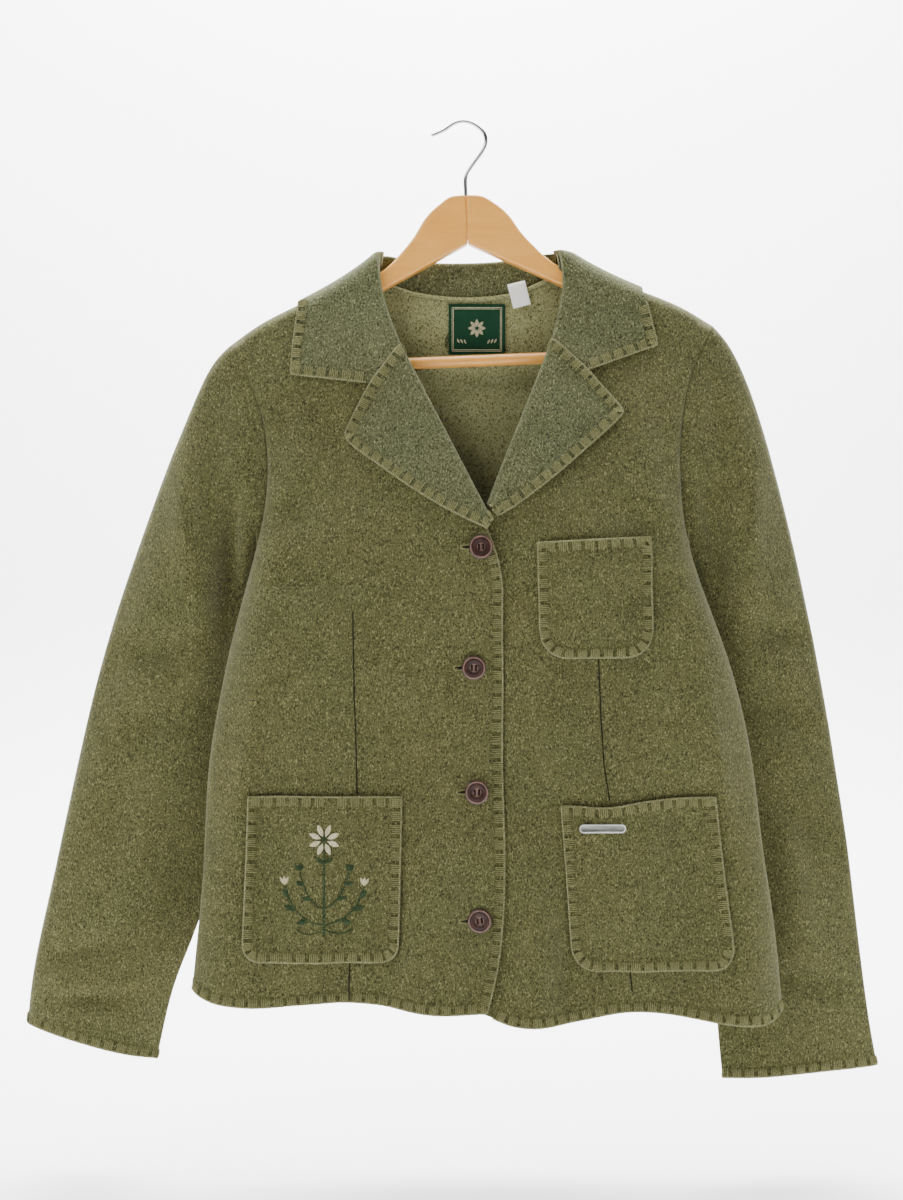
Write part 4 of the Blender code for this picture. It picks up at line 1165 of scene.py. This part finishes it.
# hanger: varnished beech arms and bar, chrome hook
def beech():
    made, tree, shader = newMaterial("beech")
    place = objectPlace(tree)
    mapping = addNode(tree, "ShaderNodeMapping", {"Scale": (9, 60, 34), "Rotation": (0, radians(2.3), 0)})
    tree.links.new(place, mapping.inputs["Vector"])
    rings = addNode(tree, "ShaderNodeTexNoise",
                    {"Scale": 1.6, "Detail": 5, "Roughness": 0.6, "Distortion": 0.5})
    tree.links.new(mapping.outputs["Vector"], rings.inputs["Vector"])
    fleck = ranged(tree, noiseAt(tree, place, 55, 4, 0.65, (0.9, 4, 11)), 0.56, 0.74)
    grain = ranged(tree, rings.outputs["Fac"], 0.36, 0.66)
    colour = mixColours(tree, grain, (0.60, 0.268, 0.040, 1), (0.68, 0.325, 0.058, 1))
    colour = mixColours(tree, joined(tree, "MULTIPLY", fleck, 0.35), colour, (0.48, 0.20, 0.028, 1))
    tree.links.new(colour, shader.inputs["Base Color"])
    setInputs(shader, {"Roughness": 0.38, "Coat Weight": 0.12, "Coat Roughness": 0.2})
    raised(tree, shader, rings.outputs["Fac"], 0.0002, 0.12)
    return made


wood = beech()
# the section is taken at a share of the depth, and rounded except at corners of more than keep degrees
woodForm = {"edge": 2.2, "keep": 62, "rounds": 4, "section": 0.2, "straight": 0.6, "top": -0.0605,
            "soft": 0.008}


def sectionLoop(node):
    work = workOn(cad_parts[node].data)
    bmesh.ops.remove_doubles(work, verts=work.verts, dist=0.00002)
    ys = [v.co.y for v in work.verts]
    low, high = min(ys), max(ys)
    middle = low + (high - low) * woodForm["section"]
    cut = bmesh.ops.bisect_plane(work, geom=work.verts[:] + work.edges[:] + work.faces[:],
                                 plane_co=(0, middle, 0), plane_no=(0, 1, 0))
    near = {}
    for edge in (e for e in cut["geom_cut"] if isinstance(e, bmesh.types.BMEdge)):
        a, b = edge.verts
        near.setdefault(a, []).append(b)
        near.setdefault(b, []).append(a)
    start = next(iter(near))
    loop, before, at = [start], None, start
    while True:
        following = [v for v in near[at] if v is not before]
        before, at = at, following[0]
        if at is start:
            break
        loop.append(at)
    places = [(v.co.x, v.co.z) for v in loop]
    work.free()
    return places, low, high


def roundedLoop(places):
    # corners that turn sharply stay, the others are cut back round by round
    bent = []
    for k, (x, z) in enumerate(places):
        (px, pz), (nx, nz) = places[k - 1], places[(k + 1) % len(places)]
        first, second = Vector((x - px, z - pz)), Vector((nx - x, nz - z))
        if min(first.length, second.length) > 1e-6 and first.angle(second) > radians(woodForm["straight"]):
            bent.append((x, z))
    places = bent
    for _ in range(woodForm["rounds"]):
        rounded = []
        count = len(places)
        for k, (x, z) in enumerate(places):
            (px, pz), (nx, nz) = places[k - 1], places[(k + 1) % count]
            first, second = Vector((x - px, z - pz)), Vector((nx - x, nz - z))
            if min(first.length, second.length) < 1e-6:
                continue
            if first.angle(second) > radians(woodForm["keep"]):
                rounded.append((x, z))
            else:
                rounded.append((x - first.x / 4, z - first.y / 4))
                rounded.append((x + second.x / 4, z + second.y / 4))
        places = rounded
    return places


def makeArm(node):
    places, low, high = sectionLoop(node)
    work = bmesh.new()
    ring = []
    for x, z in roundedLoop(places):
        ring.append(work.verts.new((x, low, softTop(z, woodForm["top"], woodForm["soft"]))))
    face = work.faces.new(ring)
    moved = bmesh.ops.extrude_face_region(work, geom=[face])["geom"]
    for vert in (v for v in moved if isinstance(v, bmesh.types.BMVert)):
        vert.co.y = high
    bmesh.ops.recalc_face_normals(work, faces=work.faces)
    mesh = bpy.data.meshes.new(node)
    work.to_mesh(mesh)
    work.free()
    item = link(bpy.data.objects.new(node + "Wood", mesh))
    bevel(item, woodForm["edge"] * mm, 4, 60)
    return item


for node in ("hanger_arm_right", "hanger_arm_left", "hanger_bar"):
    item = refineNode(node, 0, node + "Wood") if node == "hanger_bar" else makeArm(node)
    smoothShade(item, 32)
    item.data.materials.append(wood)
    standIn(item, node)

# the glue line between the two arms
glueLine = {"x": 3.9, "top": -65.0, "bottom": -103.5, "radius": 1.3, "back": 2.6}
work = bmesh.new()
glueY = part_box("hanger_arm_right")[0][1] + glueLine["back"] * mm
ends = [Vector((glueLine["x"] * mm, glueY, glueLine[end] * mm)) for end in ("top", "bottom")]
tubeInto(work, ends, [glueLine["radius"] * mm] * 2, 10)
finishStrands(work, "glueLine", [wood])

chrome, tree, shader = newMaterial("chromeWire")
setInputs(shader, {"Base Color": (0.42, 0.42, 0.43, 1), "Metallic": 1.0})
scratches = noiseAt(tree, objectPlace(tree), 500, 3, 0.6)
tree.links.new(ranged(tree, scratches, 0.3, 0.7, 0.10, 0.24), shader.inputs["Roughness"])
item = refineNode("hanger_hook", 1, "hookWire")
smoothShade(item, 60)
item.data.materials.append(chrome)
standIn(item, "hanger_hook")
print("jacket: hanger")
